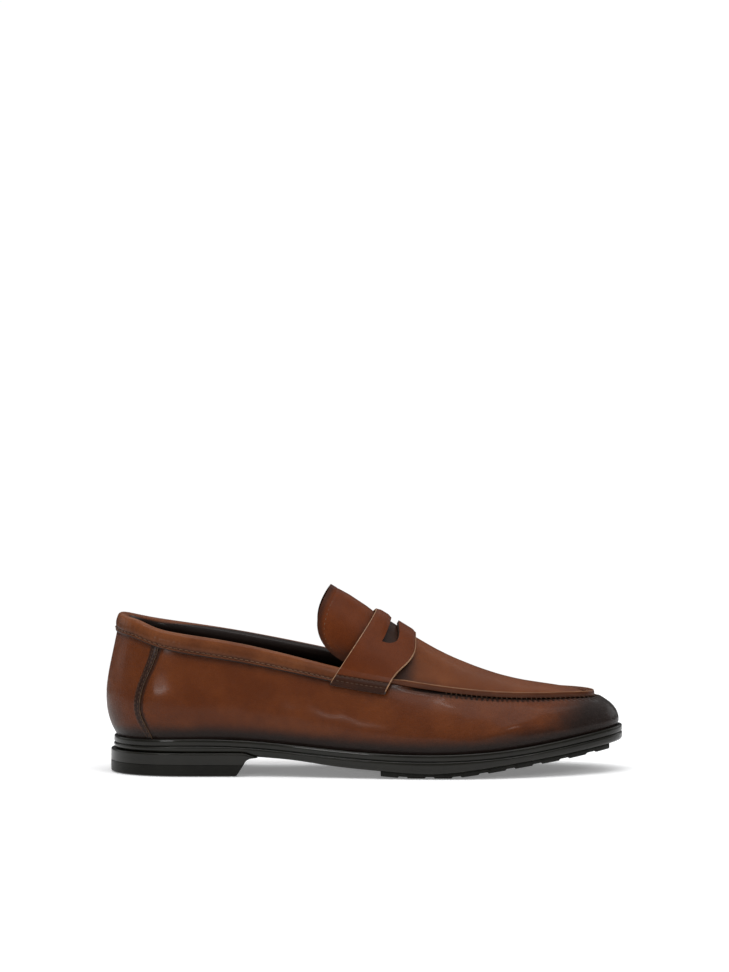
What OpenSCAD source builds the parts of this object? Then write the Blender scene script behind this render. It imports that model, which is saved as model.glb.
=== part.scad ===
// Penny loafer, right shoe. The toe points along +X, the outer (lateral) side is -Y and the ground is z = 0.
// The upper is described by sections taken round the feather line, the line where the upper meets the sole.
// Angle phi runs along that line: 0 at the heel, 90 at the lateral waist, 180 at the toe and 270 at the
// medial waist. Height v runs up a section, from 0 at the feather line to 1 at the topline or apron seam.

/* [Last] */
// Length of the feather line, heel to toe
upper_l = 291.7; // [285:0.1:298]
// Sideways swing of the toe towards the medial side
toe_swing = 6; // [4:0.5:8]

/* [Upper] */
// Thickness of the outer leather
leather_t = 1.4; // [1.2:0.1:1.5]
// Thickness of the lining leather
lining_t = 1.0; // [0.8:0.1:1.1]
// Thickness of the heel counter
counter_t = 1.2; // [1:0.1:1.2]
// Thickness of the toe puff
puff_t = 0.8; // [0.6:0.1:0.8]
// Width of the collar binding on the outside
binding_w = 11; // [9:0.5:12]
// Thickness of the saddle strap
strap_t = 1.6; // [1.3:0.1:1.8]
// Diameter of the raised bead round the apron
bead_d = 2.8; // [2.2:0.1:3]
// Width of the leather turned in under the insole board
margin_w = 12; // [8:1:14]

/* [Bottom] */
// Thickness of the insole board
board_t = 2; // [1.6:0.1:2]
// Thickness of the cushion under the sock
cushion_t = 2.5; // [2:0.1:3]
// Thickness of the leather sock
sock_t = 1; // [0.8:0.1:1.2]
// Height of the underside of the sole at the heel
heel_h = 13.4; // [13:0.1:13.6]
// Thickness of the heel top piece
top_piece_h = 6.5; // [4:0.5:7]
// Depth of the grooves between the tread bars
tread_cut = 0.8; // [0.6:0.1:1.2]

/* [Stitching] */
// Thread diameter
thread_d = 0.7; // [0.5:0.1:0.8]
// Distance from one stitch to the next
stitch_pitch = 4; // [3.5:0.5:6]

/* [Hidden] */

gap = 0.12;              // clearance between neighbouring pieces
slack = 0.34;            // clearance between curved layers, whose flat facets don't line up
heel_x = 6;              // feather line behind the heel, from the rearmost point of the upper
half_l = upper_l / 2;
mid_x = heel_x + half_l;
turn = 40;               // how fast the sections turn to face forwards and backwards at the two ends
step = 5;                // degrees of phi between neighbouring sections

// Sections every 30 degrees of phi:
// [half width factor, feather height, inward lean of the top, top height,
//  outward belly, height share of the belly, fullness below the top, height share of the fullness]
SECTIONS = [
    [66,   21,   1.6,  90.5, 13.5, 0.30, 3,    0.67],
    [57.6, 21,   3,    83.6, 10,   0.30, 2,    0.68],
    [37.5, 20.8, 3.5,  74.8, 6,    0.32, 2.5,  0.72],
    [43.5, 14.8, 9.5,  58,   5,    0.36, 6,    0.80],
    [54.3, 15.5, 16.5, 46.5, 5,    0.40, 11,   0.87],
    [53.8, 23.3, 16,   44.2, 3.5,  0.42, 11,   0.94],
    [59,   26.5, 15.2, 43.5, 2.5,  0.42, 10.2, 0.955],
    [53,   23.3, 14,   44.2, 3.5,  0.42, 11,   0.94],
    [49,   15.5, 10.5, 47.5, 6,    0.40, 9,    0.87],
    [33,   14.8, 2,    62,   9,    0.36, 4,    0.80],
    [33.5, 20.8, 1.5,  77,   7,    0.32, 2.5,  0.72],
    [56.5, 21,   2.5,  85,   10,   0.30, 2,    0.68]
];

// Height of the instep ridge, every 20 mm from x = 110
RIDGE_X = 110;
RIDGE_STEP = 20;
RIDGE = [119.5, 109.2, 96.5, 84.0, 71.8, 62.1, 55.3, 51.1, 47.8, 41.5];

// Underside of the outsole body and of the tread, every 20 mm from x = 90
UNDER_X = 90;
UNDER_STEP = 20;
UNDER = [11, 9.4, 6.7, 4.8, 3.3, 2.5, 4.2, 7, 9.9, 12.9, 16.2, 19];
BREAST_X = 78;           // front of the heel

// ---------------------------------------------------------------- splines

function wrap(i, n) = ((i % n) + n) % n;
function total(list, i = 0) = i >= len(list) ? 0 * list[0] : list[i] + total(list, i + 1);
function between(list, i) = let (last = len(list) - 1) i < 0 ? list[0] + (list[1] - list[0]) * i
    : i > last ? list[last] + (list[last] - list[last - 1]) * (i - last)
    : list[i];

// Weights that make a uniform cubic B-spline pass through its values
SHARP = [for (j = [-7:7]) sqrt(3) * pow(sqrt(3) - 2, abs(j))];
function ring_weights(list) = [for (k = [0:len(list) - 1])
    total([for (j = [0:14]) SHARP[j] * list[wrap(k + j - 7, len(list))]])];
function span_weights(list) = [for (k = [-1:len(list)])
    total([for (j = [0:14]) SHARP[j] * between(list, k + j - 7)])];
function basis(t) = [
    pow(1 - t, 3),
    3 * pow(t, 3) - 6 * t * t + 4,
    -3 * pow(t, 3) + 3 * t * t + 3 * t + 1,
    pow(t, 3)
] / 6;
function ring_at(weights, phi) = let (n = len(weights), q = wrap(phi, 360) / 360 * n, k = floor(q))
    basis(q - k) * [for (i = [-1:2]) weights[wrap(k + i, n)]];
function span_at(weights, x0, step_x, x) = let (
    q = (x - x0) / step_x,
    k = max(0, min(len(weights) - 4, floor(q)))
) basis(q - k) * [for (i = [0:3]) weights[k + i]];

section_weights = ring_weights(SECTIONS);
ridge_weights = span_weights(RIDGE);
under_weights = span_weights(UNDER);

function ridge_z(x) = span_at(ridge_weights, RIDGE_X, RIDGE_STEP, x);
function ease(a, b, x) = let (t = max(0, min(1, (x - a) / (b - a)))) t * t * (3 - 2 * t);

// ---------------------------------------------------------------- surfaces of the upper

function unit(p) = p / norm(p);
function x_at(phi) = mid_x - half_l * cos(phi);
function phi_at(x) = acos(max(-1, min(1, (mid_x - x) / half_l)));
function centre_y(x) = toe_swing * pow(max(0, (x - 100) / 198), 3);
function facing(phi, w) = unit([-turn * pow(cos(phi), 3), -w * sin(phi)]);

// A point of the section at phi: out is measured outwards in plan from the feather line
function at_section(phi, out, z) = let (s = ring_at(section_weights, phi), m = facing(phi, s[0]))
    [x_at(phi) + m.x * out, centre_y(x_at(phi)) - s[0] * sin(phi) + m.y * out, z];
function feather_z(phi) = ring_at(section_weights, phi)[1];
function floor_z(x) = feather_z(phi_at(x));

// The lateral topline keeps its height for the first few millimetres in front of the heel
function top_lift(phi) = 1.6 * exp(-pow((wrap(phi, 360) - 21) / 9, 2));

// The outer face of the upper's wall. From v = 0 down to -1 it goes down inside the sole's rim, and from
// -1 to -2 it turns in under the insole board.
rim_depth = 2.5;
function wall(phi, v) = let (
    s = ring_at(section_weights, phi),
    top = s[3] + top_lift(phi),
    h = top - s[1],
    t = max(0, v),
    bend = [pow(1 - t, 3), 3 * t * pow(1 - t, 2), 3 * t * t * (1 - t), pow(t, 3)],
    out = bend * [0, s[4], s[6] - s[2], -s[2]] + min(0, v + 1) * margin_w,
    m = facing(phi, s[0]),
    x = x_at(phi) + m.x * out,
    z = bend * [s[1], s[1] + s[5] * h, s[1] + s[7] * h, top] + max(-1, min(0, v)) * rim_depth
) [x, centre_y(x_at(phi)) - s[0] * sin(phi) + m.y * out, v < -1 ? z + floor_z(x) - s[1] : z];

function wall_normal(phi, v) = v < -1.5 ? [0, 0, -1]
    : v < -0.6 ? unit([each facing(phi, ring_at(section_weights, phi)[0]), -1])
    : unit(cross(wall(phi + 1, max(0, v)) - wall(phi - 1, max(0, v)),
                 wall(phi, max(0.04, v + 0.02)) - wall(phi, max(0, v - 0.02))));
function wall_off(phi, v, off) = wall(phi, v) + wall_normal(phi, v) * off;
function wall_height(phi) = norm(wall(phi, 1) - wall(phi, 0.75)) / 0.25;
function down_from_top(phi, d) = 1 - d / wall_height(phi);

// The apron between the two seams; s runs from -1 at the lateral seam to 1 at the medial seam
function apron(phi, s) = let (
    a = wall(phi, 1),
    b = wall(360 - phi, 1),
    p = a + (b - a) * (s + 1) / 2,
    edge = s < 0 ? a : b
) [p.x, p.y, ridge_z(p.x) + (edge.z - ridge_z(edge.x)) * s * s];
function apron_normal(phi, s) = unit(cross(apron(phi + 1, s) - apron(phi - 1, s),
                                           apron(phi, min(1, s + 0.02)) - apron(phi, max(-1, s - 0.02))));
function apron_off(phi, s, off) = apron(phi, s) + apron_normal(phi, s) * off;

// The whole way round the instep: g is -1..1 on the apron, and past that it goes down the walls
function girth_off(phi, g, off) = g < -1 ? wall_off(phi, 2 + g, off)
    : g > 1 ? wall_off(360 - phi, 2 - g, off)
    : let (a = wall_normal(phi, 1), b = wall_normal(360 - phi, 1), n = apron_normal(min(179, phi), g),
           near = ease(0.8, 1, abs(g)) / 2)
      apron(phi, g) + unit(n * (1 - near) + (g < 0 ? a : b) * near) * off;

// The tongue carries on from the apron, and its flanks turn in to pass inside the collar
tongue_low = 60;
tongue_inset = 8.3;
tongue_side = 0.94;
function tongue(x, s) = let (
    a = wall(phi_at(x), 1),
    b = wall(360 - phi_at(x), 1),
    half = (b.y - a.y) / 2
) [x, (a.y + b.y) / 2 + half * s - sign(s) * tongue_inset * pow(abs(s), 5),
   ridge_z(x) - (ridge_z(x) - tongue_low) * s * s];
function tongue_normal(x, s) = unit(cross(tongue(x + 1, s) - tongue(x - 1, s),
                                          tongue(x, s + 0.02) - tongue(x, s - 0.02)));
function tongue_off(x, s, off) = tongue(x, s) + tongue_normal(x, s) * off;
function tongue_back(s) = 130.5 - 22.5 * s * s + 45.3 * pow(abs(s), 7.6);
function tongue_root(s) = let (x = strap_back(tongue(150, s).z))
    strap_back(tongue(x, s).z + 2 * (1 - s * s));
function tongue_front(s) = tongue_root(s) + 1.2 + 5 * ease(0.8, 0.94, abs(s));

// Edges of the saddle strap, as seen from the side; the front one is given every 5 mm of height from z = 45
FRONT = [159.4, 162.5, 165.4, 169.2, 174.9, 178.7, 180, 180.2];
front_weights = span_weights(FRONT);
function strap_back(z) = 156.5 - 0.67 * (93.7 - z);
function strap_front(z) = span_at(front_weights, 45, 5, max(40, min(80, z)));
strap_end = 1.26;        // how far round the girth the strap reaches, past the seam at 1

// Where the strap's edges cross the girth line g; the medial side copies the lateral one
function strap_phi(edge, g, phi, turns = 5) = turns == 0 ? phi
    : let (p = girth_off(phi, -abs(g), 2.5))
      strap_phi(edge, g, phi_at(x_at(phi) + edge(p.z) - p.x), turns - 1);
function strap_phi_back(g) = strap_phi(function (z) strap_back(z), g, 88);
function strap_phi_front(g) = strap_phi(function (z) strap_front(z), g, 98);
function strap_lift(g) = 0.9 + 1.45 * ease(0.45, 0.85, abs(g)) - 2.2 * ease(1.21, 1.26, abs(g));

// ---------------------------------------------------------------- solids from grids of points

function flat(rows) = [for (row = rows) each row];
function cell_faces(a, b, c, d) = [[a, b, c], [a, c, d]];

// A closed solid between two grids with the same number of rows and columns. Cells for which solid_cell is
// false stay open, and every edge of the sheet gets its own wall. Triangles without area are left out.
module sheet(outer, inner, solid_cell = function (i, j) true) {
    rows = len(outer);
    cols = len(outer[0]);
    base = rows * cols;
    points = concat(flat(outer), flat(inner));
    at = function (i, j) i * cols + j;
    full = function (i, j) i >= 0 && j >= 0 && i < rows - 1 && j < cols - 1 && solid_cell(i, j);
    faces = [for (i = [0:rows - 2], j = [0:cols - 2]) if (full(i, j))
        let (a = at(i, j), b = at(i + 1, j), c = at(i + 1, j + 1), d = at(i, j + 1))
        each concat(
            cell_faces(a, d, c, b),
            cell_faces(a + base, b + base, c + base, d + base),
            full(i - 1, j) ? [] : cell_faces(a, a + base, d + base, d),
            full(i + 1, j) ? [] : cell_faces(b, c, c + base, b + base),
            full(i, j - 1) ? [] : cell_faces(a, b, b + base, a + base),
            full(i, j + 1) ? [] : cell_faces(d, d + base, c + base, c)
        )];
    polyhedron(points, [for (f = faces) if (has_area(points, f)) f]);
}

function has_area(p, f) = norm(cross(p[f[1]] - p[f[0]], p[f[2]] - p[f[0]])) > 1e-6;

// A closed solid through a row of closed sections, whose first and last sections have no area
module loft(sections) {
    n = len(sections[0]);
    points = flat(sections);
    faces = [for (i = [0:len(sections) - 2], j = [0:n - 1])
        let (a = i * n + j, b = (i + 1) * n + j, c = (i + 1) * n + (j + 1) % n, d = i * n + (j + 1) % n)
        each cell_faces(a, d, c, b)];
    polyhedron(points, [for (f = faces) if (has_area(points, f)) f]);
}

// A layer that follows the wall from phi_a to phi_b and from v_a to v_b
module wall_layer(phi_a, phi_b, heights, outer_off, thickness, shift = function (phi, v) 0) {
    n = round((phi_b - phi_a) / step);
    grid = function (more) [for (i = [0:n]) [for (v = heights)
        let (phi = phi_a + (phi_b - phi_a) * i / n + shift(i / n, v))
        wall_off(phi, v, outer_off(phi) - more)]];
    sheet(grid(0), grid(thickness));
}

// A flat layer under the foot: inset from the feather line, between two heights over it
module bottom_layer(phi_a, phi_b, inset, low, high) {
    n = round((phi_b - phi_a) / step);
    corner = function (phi, z) let (p = at_section(phi, -inset, z)) p + [0, 0, floor_z(p.x)];
    sections = [for (i = [0:n]) let (phi = phi_a + (phi_b - phi_a) * i / n)
        [corner(phi, low), corner(360 - phi, low), corner(360 - phi, high), corner(phi, high)]];
    ends = [sections[0], sections[n]];
    capped = function (s) [for (p = s) (s[0] + s[2]) / 2];
    loft([capped(ends[0]), each sections, capped(ends[1])]);
}

// A stitch lying on a surface, from p to q
module stitch(p, q) {
    d = q - p;
    translate(p) rotate([0, acos(d.z / norm(d)), atan2(d.y, d.x)])
        cylinder(d = thread_d, h = norm(d), $fn = 16);
}

// Stitches along a line given by a function of 0..1, about one pitch apart
module stitch_row(line, length) {
    n = round(length / stitch_pitch);
    for (i = [0:n - 1]) stitch(line((i + 0.18) / n), line((i + 0.82) / n));
}

// ---------------------------------------------------------------- upper

// The seam of the heel panel swings forwards at the top and at the bottom
function seam_phi(v) = 27.6 + 5.4 * ease(0.34, 0.9, v) + 3.4 * ease(0.3, 0, v);
WALL_HEIGHTS = [-2, -1, 0, 0.14, 0.3, 0.46, 0.62, 0.78, 0.9, 0.985];
FULL_LEATHER = function (phi) 0;

module vamp_wall() color("saddlebrown") {
    bend = function (t, v) (seam_phi(v) + gap - 30) * (1 - 2 * t);
    wall_layer(30, 330, WALL_HEIGHTS, FULL_LEATHER, leather_t, bend);
}

module heel_panel() color([0.36, 0.2, 0.12]) {
    bend = function (t, v) (30 - seam_phi(v)) * (1 - 2 * t);
    wall_layer(-30, 30, WALL_HEIGHTS, FULL_LEATHER, leather_t, bend);
}

// The apron starts in front of the tongue and, at its sides, in front of the binding's ends
function apron_back(s) = max(tongue_root(s) + 2.6, 145.2 * ease(0.6, 0.72, abs(s)));
module apron_piece() color([0.5, 0.27, 0.13]) {
    n = 22;
    cols = [for (j = [-8:8]) j / 8 * 0.985];
    grid = function (off) [for (i = [0:n]) [for (s = cols)
        let (t = i / n) apron_off(phi_at(apron_back(s)) * (1 - t) + 176 * t, s, off)]];
    sheet(grid(0), grid(-leather_t));
}

// The raised edge of the apron, lying in the corner between the apron and the wall
function seam_apron_normal(phi) = phi < 176 ? apron_normal(phi, -1) : phi > 184 ? apron_normal(360 - phi, 1)
    : unit(apron_normal(176, -1) * (184 - phi) + apron_normal(176, 1) * (phi - 176));
bead_phi = strap_phi_front(1) + 0.9;
module apron_bead() color([0.42, 0.23, 0.12]) {
    r = bead_d / 2;
    n = 56;
    sides = 8;
    sections = [for (i = [0:n]) let (
        phi = bead_phi + (360 - 2 * bead_phi) * i / n,
        up = unit(wall_normal(phi, 1) + seam_apron_normal(phi)),
        along = unit(wall(phi + 1, 1) - wall(phi - 1, 1)),
        side = cross(along, up),
        c = wall(phi, 1) + up * (r + gap) / (up * wall_normal(phi, 1))
    ) [for (k = [0:sides - 1]) c + (up * cos(k * 360 / sides) - side * sin(k * 360 / sides)) * r]];
    point = function (s) [for (p = s) total(s) / len(s)];
    loft([point(sections[0]), each sections, point(sections[n])]);
}

// The strap's slot lies between two curves that meet at its two ends
slot_g = 0.655;
slot_back = 0.375;
function slot_front(g) = let (u = min(1, abs(g) / slot_g))
    slot_back + (0.12 + 0.2 * u) * sqrt(max(0, 1 - pow(u, 7))) + 0.05 * exp(-pow(g / 0.1, 2));

module saddle_strap() color([0.5, 0.27, 0.13]) {
    half = [0, 0.1, 0.22, 0.34, 0.46, 0.55, 0.61, slot_g, 0.7, 0.77, 0.85, 0.95, 1.04, 1.13, 1.21,
        1.235, strap_end];
    gs = [for (i = [len(half) - 1:-1:1]) -half[i], each half];
    share = function (g) [0, 0.19, slot_back, slot_front(g), 0.78, 1];
    grid = function (more) [for (g = gs) let (a = strap_phi_back(g), b = strap_phi_front(g))
        [for (t = share(g)) girth_off(a + (b - a) * t, g, strap_lift(g) + more)]];
    sheet(grid(strap_t), grid(0), function (i, j) j != 2 || gs[i] < -slot_g - 0.01 || gs[i] > slot_g - 0.01);
}

// ---------------------------------------------------------------- collar

// The band runs from under the strap, round the heel, to under the strap on the other side
binding_phi = 86.4;
function band_w(phi) = binding_w - 2 * ease(70, 26, abs(phi)) - 2.3 * ease(40, 84, abs(phi));

// Across the band: [share of its width down the outside, or mm up over the edge when positive, mm out]
BAND_OUT = [[-1, 1], [-0.78, 1.35], [-0.5, 1.5], [-0.2, 1.4], [0.4, 0.9], [1.7, -1.1], [1.8, -3.1],
    [0.4, -5.3]];
BAND_IN = [[-1, 0.14], [-0.78, 0.4], [-0.5, 0.5], [-0.2, 0.45], [0, 0.15], [0.7, -1.3], [0.8, -2.9],
    [-0.05, -4.4]];
// The part that turns down inside: [mm down, mm out]
TURN_OUT = [[2.5, -6.05], [5.5, -5.9]];
TURN_IN = [[2.5, -5.05], [5.5, -5.0]];
function band_point(phi, p) = wall_off(phi, down_from_top(phi, max(0, -p[0]) * band_w(phi)), p[1])
    + [0, 0, max(0, p[0])];

module collar_binding() color([0.45, 0.25, 0.13]) {
    n = 44;
    grid = function (band, turned) [for (i = [-n / 2:n / 2]) let (phi = i / n * 2 * binding_phi) concat(
        [for (p = band) band_point(phi, p)],
        [for (p = turned) wall_off(phi, down_from_top(phi, p[0]), p[1])])];
    sheet(grid(BAND_OUT, TURN_OUT), grid(BAND_IN, TURN_IN));
}

// Foam between the wall and the lining, just under the topline
module collar_foam() color("khaki") {
    n = 36;
    grid = function (more) [for (i = [-n / 2:n / 2]) let (phi = i / n * 2 * (binding_phi - 0.8))
        [for (d = [11, 8, 5, 2])
            wall_off(phi, down_from_top(phi, d), -leather_t - slack - more * ease(13.5, 8.5, d))]];
    sheet(grid(0), grid(1.6));
}

// ---------------------------------------------------------------- tongue

module tongue_layer(outer, thickness, inset) {
    rows = 7;
    cols = [for (j = [-9:9]) let (s = abs(j) / 9)
        sign(j) * (1 - pow(1 - s, 1.35)) * (tongue_side - inset / 60)];
    grid = function (off) [for (i = [0:rows]) [for (s = cols)
        let (a = tongue_back(s) + inset, b = max(a + 1, tongue_front(s) - inset * 0.3))
        tongue_off(a + (b - a) * i / rows, s, off)]];
    sheet(grid(outer), grid(outer - thickness));
}

module tongue_piece() color([0.45, 0.24, 0.13]) tongue_layer(0, leather_t, 0);
module tongue_foam() color("khaki") tongue_layer(-leather_t - gap, 1, 6);
module tongue_lining() color([0.12, 0.11, 0.1]) tongue_layer(-leather_t - 1 - 2 * gap, 0.8, 1);

// ---------------------------------------------------------------- linings and stiffeners

// How far the lining stays behind the wall's face: past the counter at the heel, the puff at the toe and, in
// the last few millimetres under the topline, the collar foam
function lining_off(phi) = let (c = cos(phi))
    -leather_t - slack - (counter_t + slack) * ease(0.2, 0.42, c) - (puff_t + slack) * ease(0.55, 0.7, -c);
function lining_off_high(phi, v) = let (k = v < 0.5 ? 0 : ease(15, 10.5, (1 - v) * wall_height(phi)))
    lining_off(phi) * (1 - k) - (leather_t + 1.6 + 2 * slack) * k;
module lining_layer(phi_a, phi_b, heights) {
    n = round((phi_b - phi_a) / step);
    grid = function (more) [for (i = [0:n]) let (phi = phi_a + (phi_b - phi_a) * i / n)
        [for (v = heights(phi)) wall_off(phi, v, lining_off_high(phi, v) - more)]];
    sheet(grid(0), grid(lining_t));
}
VAMP_LINED = [0.09, 0.14, 0.3, 0.46, 0.62, 0.78, 0.9, 0.93];
QUARTER_LINED = function (phi) [0.07, 0.14, 0.3, 0.46, 0.62,
    each [for (d = [15, 12.5, 10.5, 6, 2.6]) down_from_top(phi, d)]];

module vamp_lining() color([0.13, 0.12, 0.11]) wall_layer(88, 272, VAMP_LINED, LINING, lining_t);
module quarter_lining_lateral() color([0.13, 0.12, 0.11]) lining_layer(35.2, 87.8, QUARTER_LINED);
module quarter_lining_medial() color([0.13, 0.12, 0.11]) lining_layer(272.2, 324.8, QUARTER_LINED);
module heel_grip_lining() color([0.25, 0.17, 0.13]) lining_layer(-35, 35, QUARTER_LINED);
LINING = function (phi) lining_off(phi);

module apron_lining() color([0.13, 0.12, 0.11]) {
    n = 18;
    cols = [for (j = [-7:7]) j / 7 * 0.9];
    grid = function (off) [for (i = [0:n]) [for (s = cols) apron_off(97 + 75 * i / n, s, off)]];
    sheet(grid(-leather_t - slack), grid(-leather_t - slack - 0.8));
}

BEHIND_LEATHER = function (phi) -leather_t - slack;
module toe_puff() color("tan")
    wall_layer(140, 220, [0.05, 0.14, 0.3, 0.46, 0.62, 0.78, 0.9], BEHIND_LEATHER, puff_t);

module heel_counter() color("tan")
    wall_layer(-60, 60, [0.03, 0.14, 0.3, 0.46, 0.62], BEHIND_LEATHER, counter_t);

// ---------------------------------------------------------------- under the foot

board_low = -rim_depth + leather_t + gap;
board_high = board_low + board_t;
cushion_high = board_high + gap + cushion_t;

module insole_board() color("peru") bottom_layer(0, 180, leather_t + 0.8, board_low, board_high);
module sock_cushion() color("khaki") bottom_layer(2, 178, 6.6, board_high + gap, cushion_high);
module sock() color([0.14, 0.13, 0.12])
    bottom_layer(2, 178, 6.2, cushion_high + gap, cushion_high + gap + sock_t);
module forepart_filler() color("burlywood")
    bottom_layer(104, 173, leather_t + margin_w + 1, -rim_depth + gap, board_low - gap);

// Steel strip that stiffens the waist, in the space between the turned-in margins
shank_w = 12;
module shank() color("silver") {
    xs = [52:6:166];
    half = [for (x = xs) shank_w / 2 * sqrt(1 - pow((x - 109) / 58, 6))];
    grid = function (z) [for (i = [0:len(half) - 1]) let (phi = phi_at(xs[0] + 6 * i), x = x_at(phi))
        [for (side = [-1, 1]) [x, side * half[i] - 2, feather_z(phi) + z]]];
    sheet(grid(board_low - gap), grid(-rim_depth + gap));
}

// ---------------------------------------------------------------- sole and heel

function sole_under(x) = x < BREAST_X + 1 ? heel_h : let (t = ease(BREAST_X + 1, BREAST_X + 9, x))
    heel_h * (1 - t) + span_at(under_weights, UNDER_X, UNDER_STEP, max(x, 84)) * t;
function sole_edge(phi) = 1.9 + 1.5 * pow(sin(phi), 2) + 0.7 * ease(0.5, 1, -cos(phi));

// Outline of the sole's edge from its inner rim to the underside: a bead, a groove and a round band
function edge_line(phi) = let (
    e = sole_edge(phi),
    z = feather_z(phi),
    h = z - sole_under(at_section(phi, e - 1.6, 0).x)
) [[-0.6, -rim_depth - gap], [gap, -rim_depth - gap], [gap, -0.2], [e - 1.2, 0.1], [e - 0.4, -0.6],
   [e - 0.2, -2], [e - 0.4, -3.4], [e - 1.2, -4], [e - 0.3, -4.6], [e, -5.3], [e, min(-5.5, -h + 2.2)],
   [e - 0.5, -h + 0.7], [e - 1.6, -h]];

module outsole() color([0.16, 0.16, 0.14]) {
    side = function (phi) [for (p = edge_line(phi)) at_section(phi, p[0], feather_z(phi) + p[1])];
    back = function (list) [for (i = [len(list) - 1:-1:0]) list[i]];
    loft([for (phi = [0:step:180]) concat(side(phi), back(side(360 - phi)))]);
}

// Rubber tread under the forepart, set in from the sole's edge, with grooves across
tread_t = 3;
tread_x = [159.3, 292.5];
bar_pitch = 15.6;
module forepart_tread() color([0.14, 0.14, 0.13]) {
    bars = floor((tread_x[1] - tread_x[0]) / bar_pitch);
    inset = 2.6;
    xs = [for (i = [0:bars]) let (x = tread_x[0] + i * bar_pitch)
        each [[x, 0], [x + 5, 0], [x + 10.2, 0], [x + 10.8, 1], [x + 15, 1]]];
    stations = [for (p = xs) if (p[0] < tread_x[1]) p, [tread_x[1], 0]];
    section = function (p) let (
        phi = phi_at(p[0]),
        top = sole_under(p[0]) - gap,
        a = at_section(phi, sole_edge(phi) - inset, top),
        b = at_section(360 - phi, sole_edge(phi) - inset, top),
        low = max(0, sole_under(p[0]) - tread_t - gap) + p[1] * tread_cut - top
    ) [a + [0, 0.8, low], b + [0, -0.8, low], b, a];
    capped = function (s) [for (q = s) (s[0] + s[2]) / 2];
    all = [for (p = stations) section(p)];
    loft([capped(all[0]), each all, capped(all[len(all) - 1])]);
}

heel_proud = 3.6;
heel_phi = phi_at(BREAST_X);
module heel_outline(proud) {
    rear = [for (i = [-12:12]) let (p = at_section(i / 12 * heel_phi, proud, 0)) [p.x, p.y]];
    a = rear[0];
    b = rear[24];
    breast = [for (i = [1:7]) let (t = i / 8)
        [b.x + (a.x - b.x) * t - 12 * t * (1 - t), b.y + (a.y - b.y) * t]];
    polygon(concat(rear, breast));
}

nail_places = [for (a = [-100:50:100]) [38 - 20 * cos(a), 20 * sin(a)]];
nail_d = 2;
module nail_holes(low, high) {
    for (p = nail_places) translate([p.x, p.y, low]) cylinder(d = nail_d, h = high - low, $fn = 24);
}

// The block's front face leans forward, and its top follows the sole
module heel_block() color([0.17, 0.17, 0.15]) difference() {
    n = 12;
    grid = function (breast, height) [for (i = [0:n]) let (
        phi = 3 + (phi_at(breast) - 3) * i / n,
        a = at_section(phi, heel_proud, 0),
        b = at_section(360 - phi, heel_proud, 0)
    ) [for (j = [-4:4]) let (p = a + (b - a) * (j + 4) / 8)
        [p.x - 3 * (1 - pow(j / 4, 2)) * ease(n - 2, n, i), p.y, height(p.x)]]];
    sheet(grid(BREAST_X + 7, function (x) sole_under(x) - 0.3),
          grid(BREAST_X + 1.6, function (x) top_piece_h + gap));
    nail_holes(top_piece_h, heel_h + 1);
}

module heel_top_piece() color([0.13, 0.13, 0.12]) linear_extrude(top_piece_h) heel_outline(heel_proud);

module heel_nails() color("silver") {
    for (p = nail_places) translate([p.x, p.y, top_piece_h + 0.6])
        cylinder(d = nail_d - 0.1, h = heel_h - top_piece_h - 1.2, $fn = 24);
}

// ---------------------------------------------------------------- stitching

lay = thread_d / 2 + gap;

module collar_stitches() color("tan") {
    line = function (t) let (phi = (2 * t - 1) * 81)
        wall_off(phi, down_from_top(phi, band_w(phi) * 0.8), 1.32 + lay);
    stitch_row(line, 310);
}

module heel_seam_stitches() color([0.2, 0.15, 0.12]) {
    for (side = [-1, 1], away = [-1.8, -0.7])
        stitch_row(function (t) let (v = 0.04 + 0.72 * t) wall_off(side * (seam_phi(v) + away), v, lay), 56);
}

module strap_stitches() color("tan") {
    for (side = [-1, 1], g = [1.075, 1.15])
        stitch_row(function (t) let (a = strap_phi_back(g), b = strap_phi_front(g))
            girth_off(a + (b - a) * (0.06 + 0.88 * t), side * g, strap_lift(g) + strap_t + lay), 28);
}

module tongue_stitches() color("tan") {
    line = function (t) let (s = (2 * t - 1) * 0.84) tongue_off(tongue_back(s) + 4.7, s, lay);
    stitch_row(line, 96);
}

module apron_stitches() color([0.2, 0.14, 0.11]) {
    n = 52;
    for (i = [0:n]) let (phi = 108 + 144 * i / n)
        stitch(wall_off(phi, 0.86, lay), wall_off(phi, 0.93, lay + 0.1));
}

// ---------------------------------------------------------------- placing

// The origin is under the middle of the shoe's box
sole_sides = [for (phi = [0:step:355]) at_section(phi, sole_edge(phi), 0)];
low_x = min([for (v = [0.2:0.02:0.5]) wall(0, v).x]);
high_x = max([for (p = sole_sides) p.x]);
mid_y = (min([for (p = sole_sides) p.y]) + max([for (p = sole_sides) p.y])) / 2;

translate([-(low_x + high_x) / 2, -mid_y, 0]) {
    vamp_wall();
    heel_panel();
    apron_piece();  // apron
    apron_bead();
    saddle_strap();
    collar_binding();
    collar_foam();
    tongue_piece();  // tongue
    tongue_foam();
    tongue_lining();
    apron_lining();
    vamp_lining();
    quarter_lining_lateral();
    quarter_lining_medial();
    heel_grip_lining();
    toe_puff();
    heel_counter();
    insole_board();
    shank();
    forepart_filler();
    sock_cushion();
    sock();
    outsole();
    forepart_tread();
    heel_block();
    heel_top_piece();
    heel_nails();
    collar_stitches();
    heel_seam_stitches();
    strap_stitches();
    tongue_stitches();
    apron_stitches();
}
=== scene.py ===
import math

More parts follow.
